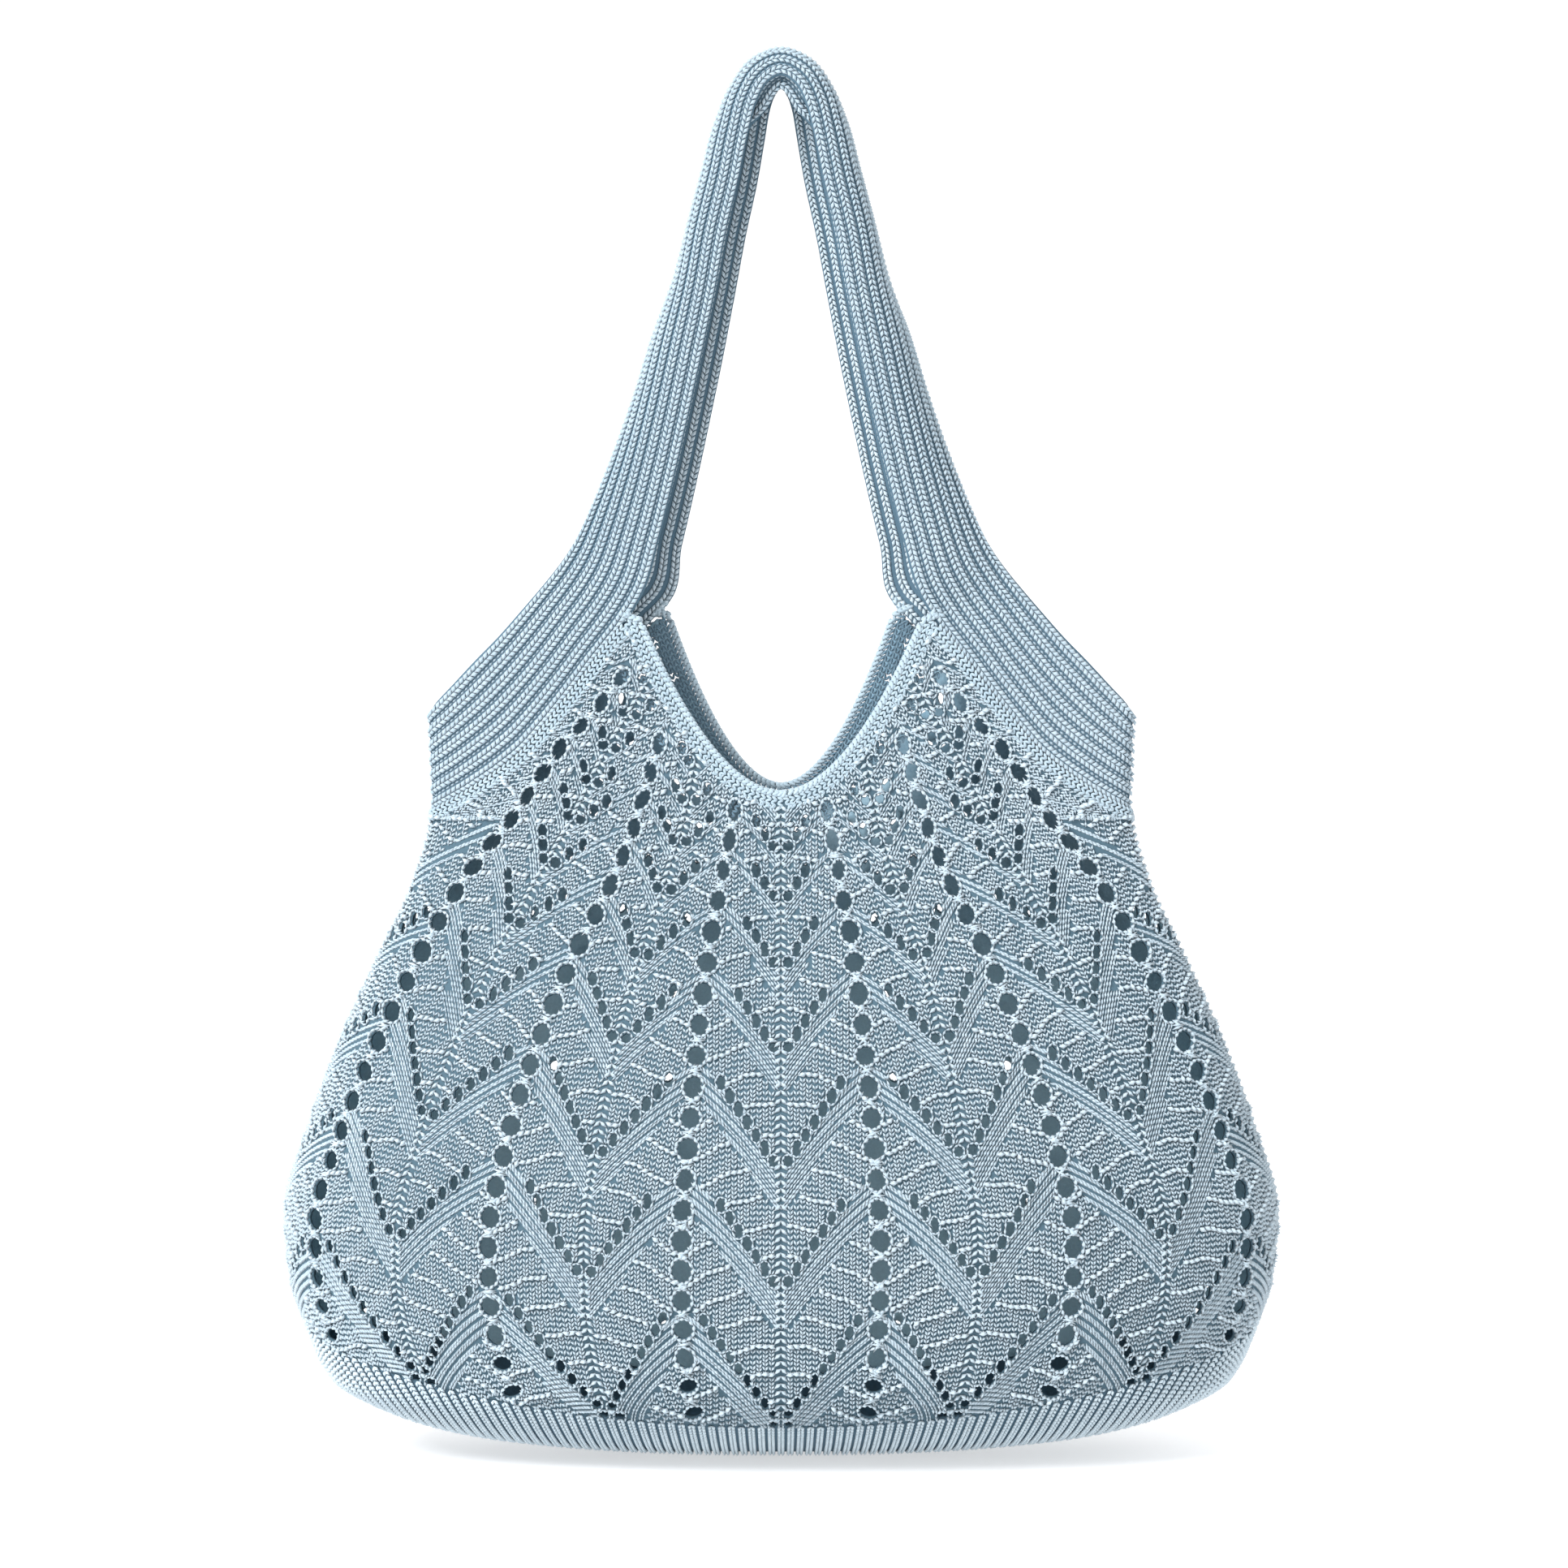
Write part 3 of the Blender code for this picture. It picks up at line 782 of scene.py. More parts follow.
def chartFan(side, fan, sign, slanted, holes):
    # the stitches of half a fan that lie on the panel and off its eyelets; under each line of
    # small eyelets the slanted strands take the place of the plain columns
    value = laceValues
    wide, slope = value["stitchWidth"], math.tan(math.radians(value["hatchTilt"]))
    places = np.meshgrid(np.arange(value["rows"]), np.arange(value["columns"]), indexing="ij")
    row, col = (place.ravel() for place in places)
    height = (row + 0.6) * value["rowHeight"]
    if not slanted:
        # the rows are never quite straight
        wave = value["wave"] * np.sin(col * 1.15 + row * 0.9 + fan * 2.0)
        height = height + wave * np.clip(row - 1, 0, 1)
    off = (col + 0.5) * wide + ((height * slope) % wide if slanted else 0)
    drop, around = dropAtHeight(fan, side, sign, off, height)
    half = fanHalf(fan, side, drop)
    for _ in range(2):
        real = height - archAt(off, half)
        drop, around = dropAtHeight(fan, side, sign, off, real)
        half = fanHalf(fan, side, drop)
    level = np.clip(np.searchsorted(fanLevels, real) - 1, 0, len(fanLevels) - 2)
    gaps = fanLevels + ((off - value["armStart"]) / slope)[:, None] - 2 * mm - real[:, None]
    below = np.where(gaps > 0, gaps, 9.0).min(axis=1)
    reach = value["hatchBand"] * np.clip(np.diff(fanLevels)[level] / (50 * mm), 0.3, 1)
    keep = ((below < reach) == slanted) & insidePanel(side, around, drop, 1.3 * mm)
    keep &= (off < half - 0.1 * wide) & (off > value["spineHalf"] - (0.5 * mm if slanted else 0))
    keep[keep] = holeDistance(around[keep], drop[keep], holes) > 1.0
    row, col, off, drop, around, half = (part[keep] for part in (row, col, off, drop, around, half))
    # the columns run along the spine in the middle and along the eyelets at the edge
    step, edge = 4 * mm, fan + (1 if sign > 0 else 0)
    ahead = fanSpine(fan, side, drop - step) - fanSpine(fan, side, drop + step)
    beside = columnAround(edge, side, drop - step) - columnAround(edge, side, drop + step)
    part = off / half
    flow = np.arctan2(ahead, 2 * step) * (1 - part) + np.arctan2(beside, 2 * step) * part
    if slanted:
        flow = flow + sign * math.radians(value["hatchTilt"])
    bow = -sign * 2 * value["archShare"] * off / np.maximum(half, 4 * mm)
    return row, col, around, drop, flow, bow


def lay(stitches, side, mirror, around, drop, tilt, size, tint, lift=0.0):
    # stitches on one half of a panel, each tilted from straight up
    point, across, up, out = skinFrame(side, mirror * around, drop)
    stitches.add(point, turned(across * mirror, up, tilt), out, size, tint, lift)


def addStrands(relief, side, mirror, chart):
    # drawn strands, two to a column, with slits between them
    value = laceValues
    row, col, around, drop, flow, _ = chart
    tilt = flow + rng.normal(0, 0.10, len(row)) * 0.8
    tint = rng.uniform(0.15, 0.85, len(row))
    width = np.where((row // 2 + col) % 2 == 0, *value["strandWidths"])
    for leg in (-1, 1):
        place = around + leg * value["stitchWidth"] * value["strandSide"]
        length = value["rowHeight"] * rng.uniform(*value["strandLength"], len(row))
        size = (length, width, value["legHeight"])
        # painted shade: one strand of each pair is a little deeper
        deep = tint + 0.1 + 0.1 * leg
        lay(relief, side, mirror, place, drop, tilt, size, deep, value["strandLift"])


def addColumns(stitches, relief, side, mirror, chart):
    # columns of V stitches, crossed by the purl ridges
    value = laceValues
    wide = value["stitchWidth"]
    row, col, around, drop, flow, bow = chart
    count = len(row)
    wobble = rng.normal(0, 0.10, count)
    tint = rng.uniform(0.15, 0.85, count)
    for leg in (-1, 1):
        place = around + leg * wide * value["legSide"]
        tilt = flow + leg * math.radians(value["legTilt"]) + wobble
        length = value["rowHeight"] * value["legLength"] * rng.uniform(0.9, 1.1, count)
        size = (length, value["legWidth"], value["legHeight"])
        # painted light and shade: one leg of each V is lighter and the other deeper
        deep = tint * 0.7 + 0.15 + leg * 0.2
        lay(stitches, side, mirror, place, drop, tilt, size, deep, value["legLift"])
    tilt = math.pi / 2 - np.arctan(bow) + wobble * 2 + np.where(col % 2 == 0, 0.35, -0.15)
    size = (wide * value["ridgeLength"], value["ridgeWidth"], value["ridgeHeight"])
    purl = row % value["ridgeEvery"] == 0
    lift = value["legLift"] + rng.uniform(*value["ridgeLift"], purl.sum()) * mm
    # painted highlight: the purl ridges take a lighter tint than the columns
    lay(relief, side, mirror, around[purl], drop[purl], tilt[purl], size, tint[purl] * 0.45, lift)


def addLaceStitches(stitches, relief, side, holes):
    for fan in range(4):
        for sign in fanSides(fan):
            for slanted in (False, True):
                chart = chartFan(side, fan, sign, slanted, holes)
                if not len(chart[0]):
                    continue
                for mirror in (1, -1):
                    if slanted:
                        addStrands(relief, side, mirror, chart)
                    else:
                        addColumns(stitches, relief, side, mirror, chart)


def leaned(x, y, dx, dy, lean):
    # a place beside an eyelet's middle, in the flat, once the eyelet leans
    return x + dx * np.cos(lean) + dy * np.sin(lean), y - (dy * np.cos(lean) - dx * np.sin(lean))


def eyeletRing(hole, turn, grow=0.0):
    # places round an eyelet's edge, a little squarer than an ellipse
    x, y, a, b, lean = hole
    dx = (a + grow) * np.cos(turn) * (0.8 + 0.2 * np.cos(turn) ** 2)
    return leaned(x, y, dx, (b + grow) * np.sin(turn), lean)


def addRims(relief, side, holes):
    # the strands drawn round each eyelet
    for big, count, width, grow in laceValues["rims"]:
        turn = (np.arange(count) + 0.5) / count * 2 * math.pi
        hole = [column[:, None] for column in holes[holes[:, 5] == big, :5].T]
        around, drop = eyeletRing(hole, turn, grow)
        wayX, wayY = -(hole[2] + grow) * np.sin(turn), (hole[3] + grow) * np.cos(turn)
        goX, goY = leaned(0, 0, wayX, wayY, hole[4])
        length = np.hypot(goX, goY) * 2 * math.pi / count * 1.35
        keep = insidePanel(side, around, drop, 0.6 * mm)
        around, drop, goX, goY, length = (part[keep] for part in (around, drop, goX, goY, length))
        for mirror in (1, -1):
            tilt = np.arctan2(goX, -goY) + rng.normal(0, 0.12, len(drop))
            tint = rng.uniform(0.2, 0.8, len(drop))
            size = (length, width, laceValues["rimHeight"])
            lay(relief, side, mirror, around, drop, tilt, size, tint)


def addBars(relief, side, holes):
    # strands cross between one large eyelet and the next
    value = laceValues
    big = holes[holes[:, 5] == 1]
    for upper, lower in zip(big[1:], big[:-1]):
        if math.hypot(upper[0] - lower[0], upper[1] - lower[1]) > value["barReach"]:
            continue
        around, drop = ((upper + lower) / 2)[:2, None]
        for mirror in (1, -1):
            point, across, up, out = skinFrame(side, mirror * around, drop)
            for angle in value["barAngles"]:
                along = turned(across * mirror, up, np.array([angle + rng.normal(0, 0.2)]))
                moved = point + up * rng.normal(0, 0.5) * mm
                tint = rng.uniform(0, 0.5, 1)
                relief.add(moved, along, out, value["barSize"], tint, value["barLift"])


def addSpines(relief, side, holes):
    # the chevrons that climb the middle of each fan
    value = laceValues
    for fan in range(4):
        height = np.arange(value["spineStart"], value["spineTop"], value["spinePitch"])
        for leg in (-1, 1):
            off = np.full(len(height), value["foldSide"] if fan == 3 else value["spineSide"])
            drop, around = dropAtHeight(fan, side, leg, off, height)
            keep = insidePanel(side, np.abs(around), drop, 1.0 * mm)
            keep &= holeDistance(around, drop, holes) > 0.9
            if fan == 3:
                keep &= (leg < 0) & (drop > neckValues["sideLow"])
            around, drop = around[keep], drop[keep]
            tilt = np.full(len(drop), -leg * math.radians(value["spineTilt"]))
            for mirror in (1,) if fan == 0 else (1, -1):
                tint = rng.uniform(0.1, 0.7, len(drop))
                lay(relief, side, mirror, around, drop, tilt, value["spineSize"], tint)


def panelOutline(side):
    # the panel's edge in the flat: around and drop, counter-clockwise from the base's left end
    inset = 0.15 * mm
    sideLow, high, low = (neckValues[name] for name in ("sideLow", "highDrop", "lowDrop"))
    shares = np.linspace(-1, 1, 121)
    drops = seamDrop(shares) - inset
    base = list(zip(shares * (girthAt(drops) - inset), drops))
    drops = np.linspace(drops[-1], sideLow, 56)[1:]
    fold = list(zip(girthAt(drops) - inset, drops))
    drops = sideLow + (high - sideLow) * np.linspace(0, 1, 26)[1:]
    yoke = list(zip(armEdge(side, drops) - inset, drops))
    drops = low - (low - high) * np.linspace(0, 1, 22)[:0:-1] ** 2
    neck = list(zip(neckEdge(side, drops), drops))
    right = fold + yoke + neck
    return base + right + [(0.0, low)] + [(-x, drop) for x, drop in reversed(right)]


def makeLaceBacking(name, side, holes):
    # the pierced sheet under the stitches, with every eyelet cut through; its outer face is painted
    # dark as the shade between the stitches
    value = laceValues
    points = [Vector((x, -drop)) for x, drop in panelOutline(side)]
    rings = [list(range(len(points)))]
    for hole in holes:
        count = 12 if hole[5] else 7
        around, drop = eyeletRing(hole[:5], 2 * math.pi * (np.arange(count) + 0.5) / count)
        for mirror in (1, -1):
            rings.append(list(range(len(points), len(points) + count))[::mirror])
            points += [Vector((mirror * x, -y)) for x, y in zip(around, drop)]
    step = value["meshStep"]
    half = value["meshHalf"]
    downs = np.arange(neckValues["highDrop"], value["meshLow"], step * 0.87)
    xs, ds = np.meshgrid(np.arange(-half, half, step), downs)
    xs = xs + (np.arange(xs.shape[0]) % 2)[:, None] * step / 2
    keep = insidePanel(side, xs, ds, 2.5 * mm)
    xs, ds = xs[keep], ds[keep]
    keep = holeDistance(np.abs(xs), ds, holes) > 1.15
    points += [Vector((x, -y)) for x, y in zip(xs[keep], ds[keep])]
    flat, _, tris, _, _, ids = geometry.delaunay_2d_cdt(points, [], rings, 1, 1e-6, True)
    # in the flat, counter-clockwise faces look out of the front; the back is mirrored
    tris = [tuple(tri)[::-side] for tri, who in zip(tris, ids) if list(who) == [0]]
    flat = np.array([(p.x, -p.y) for p in flat])
    point, _, _, out = skinFrame(side, flat[:, 0], flat[:, 1])
    outer = point - out * value["sink"]
    inner = point - out * (value["sink"] + value["wall"])
    count = len(flat)
    faces = tris + [tuple(k + count for k in tri[::-1]) for tri in tris]
    edges = [(tri[k], tri[(k + 1) % 3]) for tri in tris for k in range(3)]
    paired = set(edges)
    faces += [(b, a, a + count, b + count) for a, b in edges if (b, a) not in paired]
    mesh = bpy.data.meshes.new(name)
    mesh.from_pydata([tuple(p) for p in np.concatenate([outer, inner])], [], faces)
    shape = bmesh.new()
    shape.from_mesh(mesh)
    bmesh.ops.delete(shape, geom=[v for v in shape.verts if not v.link_faces], context="VERTS")
    shape.to_mesh(mesh)
    shape.free()
    # painted shade: inside, the cloth darkens towards the mouth
    places = np.empty(len(mesh.vertices) * 3)
    mesh.vertices.foreach_get("co", places)
    tint = mesh.attributes.new("tint", "FLOAT", "POINT")
    deep = np.clip((places[2::3] + value["paintedShadeLow"]) / value["paintedShadeHeight"], 0, 1)
    tint.data.foreach_set("value", (deep * value["paintedShadeTint"]).astype(np.float32))
    mesh.materials.append(yarns["lacePaintedShadeYarn"])
    # the outer face takes the painted shade yarn, the inner face the inside yarn with its painted
    # light and shade
    mesh.materials.append(yarns["laceInsidePaintedLightShadeYarn"])
    for face in mesh.polygons[len(tris):2 * len(tris)]:
        face.material_index = 1
    mesh.shade_smooth()
    print(name, len(mesh.polygons), "faces")
    return addObject(name, mesh)


def makeLacePanel(side, label, node):
    holes = eyeletChart(side)
    if side == back:
        holes = dimBackHoles(holes, eyeletChart(front))
    backing = makeLaceBacking(label + "Backing", side, holes)
    stitches, relief = StitchList(), StitchList()
    addLaceStitches(stitches, relief, side, holes)
    addRims(relief, side, holes)
    addBars(relief, side, holes)
    addSpines(relief, side, holes)
    plain = stitches.knit(label + "Stitches", "laceYarn")
    handOver((backing, plain, relief.knit(label + "Relief", "laceYarn")), node)


# The base: a smooth shell with knitted ribs that run down the front, under and up the back

baseValues = {
    "around": 132,  # places round the shell
    "levels": 20,
    "floorLevels": 4,
    "sink": 1.1 * mm,
    "wall": 1.8 * mm,
    "ribPitch": 4.25 * mm,
    "ribTop": 0.492,
    "pitchDrop": 0.515,  # the ribs stand evenly apart at this drop
    "slant": 4.0,  # how fast the ribs spread upwards, as a share for each metre
    "ribWidth": 3.7 * mm,
    "stitchPitch": 2.25 * mm,
    "legSide": 0.19,  # as a share of a rib
    "legLean": 0.5,
    "legLength": 1.35,  # in stitch pitches
    "legWidth": 1.55 * mm,
    "legHeight": 2.1 * mm,
    "legLift": -0.35 * mm,
    "endTop": 0.4985,  # the V stitches where the ribs turn round the bag's two ends
    "endLow": 0.552,
    "endRow": 2.2 * mm,
    "endPitch": 3.6 * mm,
    "endSide": 0.75 * mm,
    "endLength": 3.0 * mm,
    "endClear": 1.5 * mm,
}


def runAlong(points):
    # how far along a line each of its points is
    return np.concatenate([[0], np.cumsum(np.linalg.norm(np.diff(points, axis=0), axis=-1))])


def valuesAt(at, run, rows):
    return np.stack([np.interp(at, run, column) for column in rows.T], axis=-1)


def evenly(points, others, pitch, phase=0.5):
    # evenly spaced places on a line, the way it runs there and the way out
    run = runAlong(points)
    at = np.arange(phase * pitch, run[-1], pitch)
    way = unit(valuesAt(at, run, np.gradient(points, axis=0)))
    return valuesAt(at, run, points), way, unit(valuesAt(at, run, others))


def closeMesh(name, verts, faces, yarn):
    mesh = bpy.data.meshes.new(name)
    mesh.from_pydata([tuple(v) for v in verts], [], faces)
    shape = bmesh.new()
    shape.from_mesh(mesh)
    bmesh.ops.remove_doubles(shape, verts=shape.verts, dist=0.01 * mm)
    bmesh.ops.recalc_face_normals(shape, faces=shape.faces)
    shape.to_mesh(mesh)
    shape.free()
    mesh.materials.append(yarns[yarn])
    mesh.shade_smooth()
    return addObject(name, mesh)


def makeBaseShell():
    # rings from the seam down to the floor's edge, then in to the middle line
    value = baseValues
    count = value["around"]
    turn = np.arange(count) / count * 4
    side = np.where((turn < 1) | (turn > 3), front, back)
    share = np.where(turn < 1, turn, np.where(turn < 3, 2 - turn, turn - 4))
    flip = np.stack([np.ones(count), side, np.ones(count)], axis=-1)
    top = seamDrop(share) + 0.15 * mm
    rings = []
    for level in np.linspace(0, 1, value["levels"]):
        drop = top + level * (bodyValues["drop"] - 0.4 * mm - top)
        point, _, _, out = skinFrame(back, share * girthAt(drop), drop)
        point, out = point * flip, out * flip
        rings.append((point - out * value["sink"], point - out * (value["sink"] + value["wall"])))
    lastOuter = rings[-1][0]
    for k in range(1, value["floorLevels"] + 1):
        part = 1 - k / value["floorLevels"]
        outer = lastOuter * np.array([0.90 + 0.10 * part, part, 1])
        rings.append((outer, outer + np.array([0, 0, value["wall"]])))
    faces = []
    for row in range(len(rings) - 1):
        here, below = row * 2 * count, (row + 1) * 2 * count
        for k in range(count):
            n = (k + 1) % count
            faces.append((here + n, here + k, below + k, below + n))
            faces.append((here + count + k, here + count + n, below + count + n, below + count + k))
    faces += [(k, (k + 1) % count, count + (k + 1) % count, count + k) for k in range(count)]
    verts = np.concatenate([part for ring in rings for part in ring])
    # the shell is painted dark, as the shade between the ribs
    return closeMesh("baseBacking", verts, faces, "ribPaintedShadeYarn")


def ribLines():
    # the middle line of each rib, with the way out, from the seam to the middle of the underside
    value = baseValues
    drops = np.linspace(value["ribTop"], bodyValues["drop"], 150)
    share, width, _ = np.array(bodyRows).T
    halfWidth = smoothRows(drops / bodyValues["drop"], share, width) * bodyValues["width"] / 2
    level = int(np.searchsorted(tableDrops, value["pitchDrop"]))
    ribs = np.arange(0, skinGirth[level], value["ribPitch"])
    half = np.interp(ribs, tableShares * skinGirth[level], skinX[level])
    spread = 1 + value["slant"] * (bodyValues["drop"] - value["pitchDrop"])
    for bottom in np.concatenate([-half[:0:-1], half]) / spread:
        x = bottom * (1 + value["slant"] * (bodyValues["drop"] - drops))
        fits = np.abs(x) < halfWidth
        if fits.sum() < 5:
            continue
        around = aroundAtX(drops[fits], np.abs(x[fits])) * np.sign(bottom + 1e-9)
        fitDrops = drops[fits]
        below = fitDrops > seamDrop(around / girthAt(fitDrops)) - 0.4 * mm
        if below.sum() < 4:
            continue
        line, _, _, out = skinFrame(front, around[below], fitDrops[below])
        if abs(line[-1][1]) > 0.5 * mm:
            # under the bag the rib runs on to the middle line
            steps = np.linspace(0, 1, 6)[1:, None]
            line = np.concatenate([line, line[-1] * (1, 0, 1) + line[-1] * (0, 1, 0) * (1 - steps)])
            out = np.concatenate([out, np.repeat([[0.0, 0.0, -1.0]], 5, axis=0)])
        yield line, out


def makeBase():
    value = baseValues
    backing = makeBaseShell()
    stitches, placed = StitchList(), []
    thick = (value["legWidth"], value["legHeight"])
    for line, out in ribLines():
        place, way, face = evenly(line, out, value["stitchPitch"])
        across = np.cross(face, way)
        placed.append(place)
        for turnBack in np.array([(1, 1, 1), (1, -1, 1)]):
            for leg in (-1, 1):
                along = unit(way + across * leg * value["legLean"])
                shifted = place + across * leg * value["ribWidth"] * value["legSide"]
                stitches.add(shifted * turnBack, along * turnBack, face * turnBack,
                             (value["stitchPitch"] * value["legLength"], *thick),
                             rng.uniform(0.1, 0.8, len(place)), value["legLift"])
    placed = np.concatenate(placed)
    # the two ends, where the ribs turn round the bag's sides
    ends = np.arange(value["endTop"], value["endLow"], value["endRow"])
    drop, off = (part.ravel() for part in np.meshgrid(ends, np.arange(-4, 5) * value["endPitch"]))
    for mirror in (1, -1):
        place, across, up, out = skinFrame(front, (girthAt(drop) + off) * mirror, drop)
        nearest = np.linalg.norm(np.abs(place)[:, None] - np.abs(placed)[None], axis=-1).min(axis=1)
        keep = (nearest > value["endClear"]) & (drop > seamDrop(1) + 0.2 * mm)
        for leg in (-1, 1):
            along = unit(up + across * leg * value["legLean"])
            shifted = place + across * leg * value["endSide"]
            stitches.add(shifted[keep], along[keep], out[keep], (value["endLength"], *thick),
                         rng.uniform(0.1, 0.8, keep.sum()), value["legLift"])
    handOver((backing, stitches.knit("baseStitches", "baseYarn", 4)), "base_band")


# The strap band: two nested handles that turn at each side in a V

bandValues = {
    "width": 0.030,
    "depth": 0.0155,
    "gap": 0.0009,
    "wall": 1.0 * mm,
    "ribs": 7,
    "relief": 0.4 * mm,
    "sink": 0.1 * mm,
    "stitchPitch": 2.3 * mm,
    "samples": 29,
    "stations": 330,
    "soften": 8,  # stations over which a bend is rounded
    "softenHigh": (0.10, 0.05),  # from this drop down, fading in over this much
    "softenLow": (-0.262, 0.03),  # and up to this drop
    "legSide": 0.18,  # as a share of a rib
    "legLength": 1.5,  # in stitch pitches
    "legWidth": 0.34,
    "legHeight": 2.0 * mm,
    "legTilt": 26.0,
    "lift": 0.55 * mm,
    "insideLift": 1.35 * mm,
    "insideShift": 0.12,
    "purlLength": 0.95,  # the low purl column between two ribs
    "purlWidth": 0.2,
    "purlHeight": 1.5 * mm,
    "purlLift": -0.35 * mm,
}

# side, drop, lean, width, tilt in, tilt out, depth and nest, then tilt in, tilt out and depth of
# the back handle
handleRows = (
    (0.955, 0.951, 31, 1.17, 0, 38, 1.00, 0.367, 0, 38, 1.00),
    (0.833, 0.849, 22, 1.13, -5, 50, 1.03, 0.317, -5, 50, 1.03),
    (0.717, 0.727, 19, 1.07, -8, 71, 1.03, 0.300, -6, 65, 1.03),
    (0.617, 0.613, 17, 1.05, -10, 84, 1.00, 0.287, -8, 80, 1.00),
    (0.534, 0.513, 17, 1.04, -12, 94, 0.97, 0.280, -10, 92, 0.97),
    (0.447, 0.403, 16, 1.00, -14, 115, 0.90, 0.267, -12, 110, 0.90),
    (0.371, 0.296, 15, 1.00, -15, 130, 0.84, 0.267, -14, 125, 0.84),
    (0.286, 0.205, 15, 1.00, -15, 135, 0.77, 0.250, -16, 135, 0.81),
    (0.221, 0.123, 18, 1.00, -12, 145, 0.71, 0.233, -20, 150, 0.74),
    (0.164, 0.067, 30, 1.05, -4, 163, 0.72, 0.210, -36, 205, 0.40),
    (0.095, 0.033, 55, 1.08, 1, 172, 0.73, 0.200, -40, 218, 0.35),
    (0.000, 0.019, 90, 1.10, 5, 175, 0.73, 0.190, -40, 220, 0.34),
)


def yokeDrops():
    height = neckValues["lowDrop"] - neckValues["highDrop"]
    toNeck = neckValues["sideLow"] - neckValues["lowDrop"]
    levels = [neckValues["sideLow"], neckValues["sideLow"] - 0.35 * toNeck]
    return levels + [neckValues["lowDrop"] - height * (k / 8) ** 2 for k in range(9)]


def acrossBand(inner, y, side, lean, width, tiltIn, tiltOut):
    # a line across the band from its inner edge, curling from one tilt to the other
    lean, tiltIn, tiltOut = (math.radians(angle) for angle in (lean, tiltIn, tiltOut))
    steps = bandValues["samples"] - 1
    tilt = tiltIn + (tiltOut - tiltIn) * (np.arange(steps) + 0.5) / steps
    step = width / steps
    out = step * np.cos(tilt)
    deep = -side * step * np.sin(tilt)
    moves = np.stack([out * math.cos(lean), deep, out * math.sin(lean)], axis=-1)
    start = np.array([inner[0], y, inner[1]])
    return np.concatenate([[start], start + np.cumsum(moves, axis=0)])


def armLine(side, drop):
    rise = riseAt(drop)
    around = min(float(armEdge(side, np.array(drop))), float(girthAt(drop)))
    if drop >= neckValues["sideLow"] - 1e-9:
        around = float(girthAt(drop))
    point, _, _, out = skinFrame(side, np.array([around]), np.array([drop]))
    point = point[0] - out[0] * bodyValues["laceMiddle"]
    if around >= float(girthAt(drop)) - 1e-9:
        point[1] = 0
    lean = float(armValue(2, rise))
    angle = math.radians(lean)
    gap = bandValues["gap"]
    inner = (point[0] + gap * math.cos(angle), point[2] + gap * math.sin(angle))
    width, tiltIn, tiltOut = (float(armValue(column, rise)) for column in (3, 4, 5))
    return acrossBand(inner, point[1], side, lean, width * bandValues["width"], tiltIn, tiltOut)


def handleLine(side, row):
    sideShare, dropShare, lean, width, tiltIn, tiltOut, depth, nest, *backRow = row
    x, z = sideShare * neckValues["halfFront"], -dropShare * neckValues["highDrop"]
    angle = math.radians(lean)
    if side == back:
        x -= nest * bandValues["width"] * math.cos(angle)
        z -= nest * bandValues["width"] * math.sin(angle)
        tiltIn, tiltOut, depth = backRow
    y = side * depth * bandValues["depth"]
    return acrossBand((x, z), y, side, lean, width * bandValues["width"], tiltIn, tiltOut)



def resample(lines, count):
    # smooth lines through the stations, evenly spaced along the band's middle
    run = runAlong(lines[:, lines.shape[1] // 2])
    at = np.linspace(0, run[-1], count)
    row = np.clip(np.searchsorted(run, at, side="right") - 1, 0, len(run) - 2)
    step = run[row + 1] - run[row]
    t = ((at - run[row]) / step)[:, None, None]
    slopes = np.gradient(lines, run, axis=0)
    step = step[:, None, None]
    start = lines[row] * (1 + 2 * t) * (1 - t) ** 2 + slopes[row] * step * t * (1 - t) ** 2
    end = lines[row + 1] * t * t * (3 - 2 * t) + slopes[row + 1] * step * t * t * (t - 1)
    return start + end


def soften(lines, spread):
    # rounds sharp bends along the band and keeps both ends where they are
    reach = 3 * spread
    before = 2 * lines[0] - lines[reach:0:-1]
    after = 2 * lines[-1] - lines[-2:-reach - 2:-1]
    padded = np.concatenate([before, lines, after])
    weights = np.exp(-0.5 * (np.arange(-reach, reach + 1) / spread) ** 2)
    weights /= weights.sum()
    return sum(w * padded[k:k + len(lines)] for k, w in enumerate(weights))



def fade(at, start, over):
    return np.clip((at - start) / over, 0, 1)


def bandGrids():
    # the band's middle surface from fold to fold: the front handle, then the back one
    grids = {}
    for side in (front, back):
        lines = [armLine(side, drop) for drop in yokeDrops()]
        quarter = np.array(lines + [handleLine(side, row) for row in handleRows])
        quarter[0, :, 1] = 0
        whole = np.concatenate([quarter * (-1, 1, 1), quarter[-2::-1]])
        grid = resample(whole, bandValues["stations"])
        # only the outer side of the bend above the armholes is rounded
        drop = -grid[:, grid.shape[1] // 2, 2, None, None]
        part = fade(drop, *bandValues["softenHigh"]) * fade(-drop, *bandValues["softenLow"])
        part = part * np.linspace(0, 1, bandValues["samples"])[None, :, None]
        grids[side] = grid + (soften(grid, bandValues["soften"]) - grid) * part
    return grids


bandSurface = bandGrids()


def gridNormals(side):
    along, across = np.gradient(bandSurface[side], axis=(0, 1))
    return unit(np.cross(along, across)) * -side


def sampleRib(side, position, phase=0.5):
    # evenly spaced places on the line at this place across the band, and the band's width there
    grid, normals, pitch = bandSurface[side], gridNormals(side), bandValues["stitchPitch"]
    steps = grid.shape[1] - 1
    low = min(int(position * steps), steps - 1)
    part = position * steps - low
    line = grid[:, low] * (1 - part) + grid[:, low + 1] * part
    out = unit(normals[:, low] * (1 - part) + normals[:, low + 1] * part)
    run = runAlong(line)
    width = np.linalg.norm(grid[:, low + 1] - grid[:, low], axis=-1) * steps
    width = np.interp(np.arange(phase * pitch, run[-1], pitch), run, width)
    return *evenly(line, out, pitch, phase), width / bandValues["ribs"]


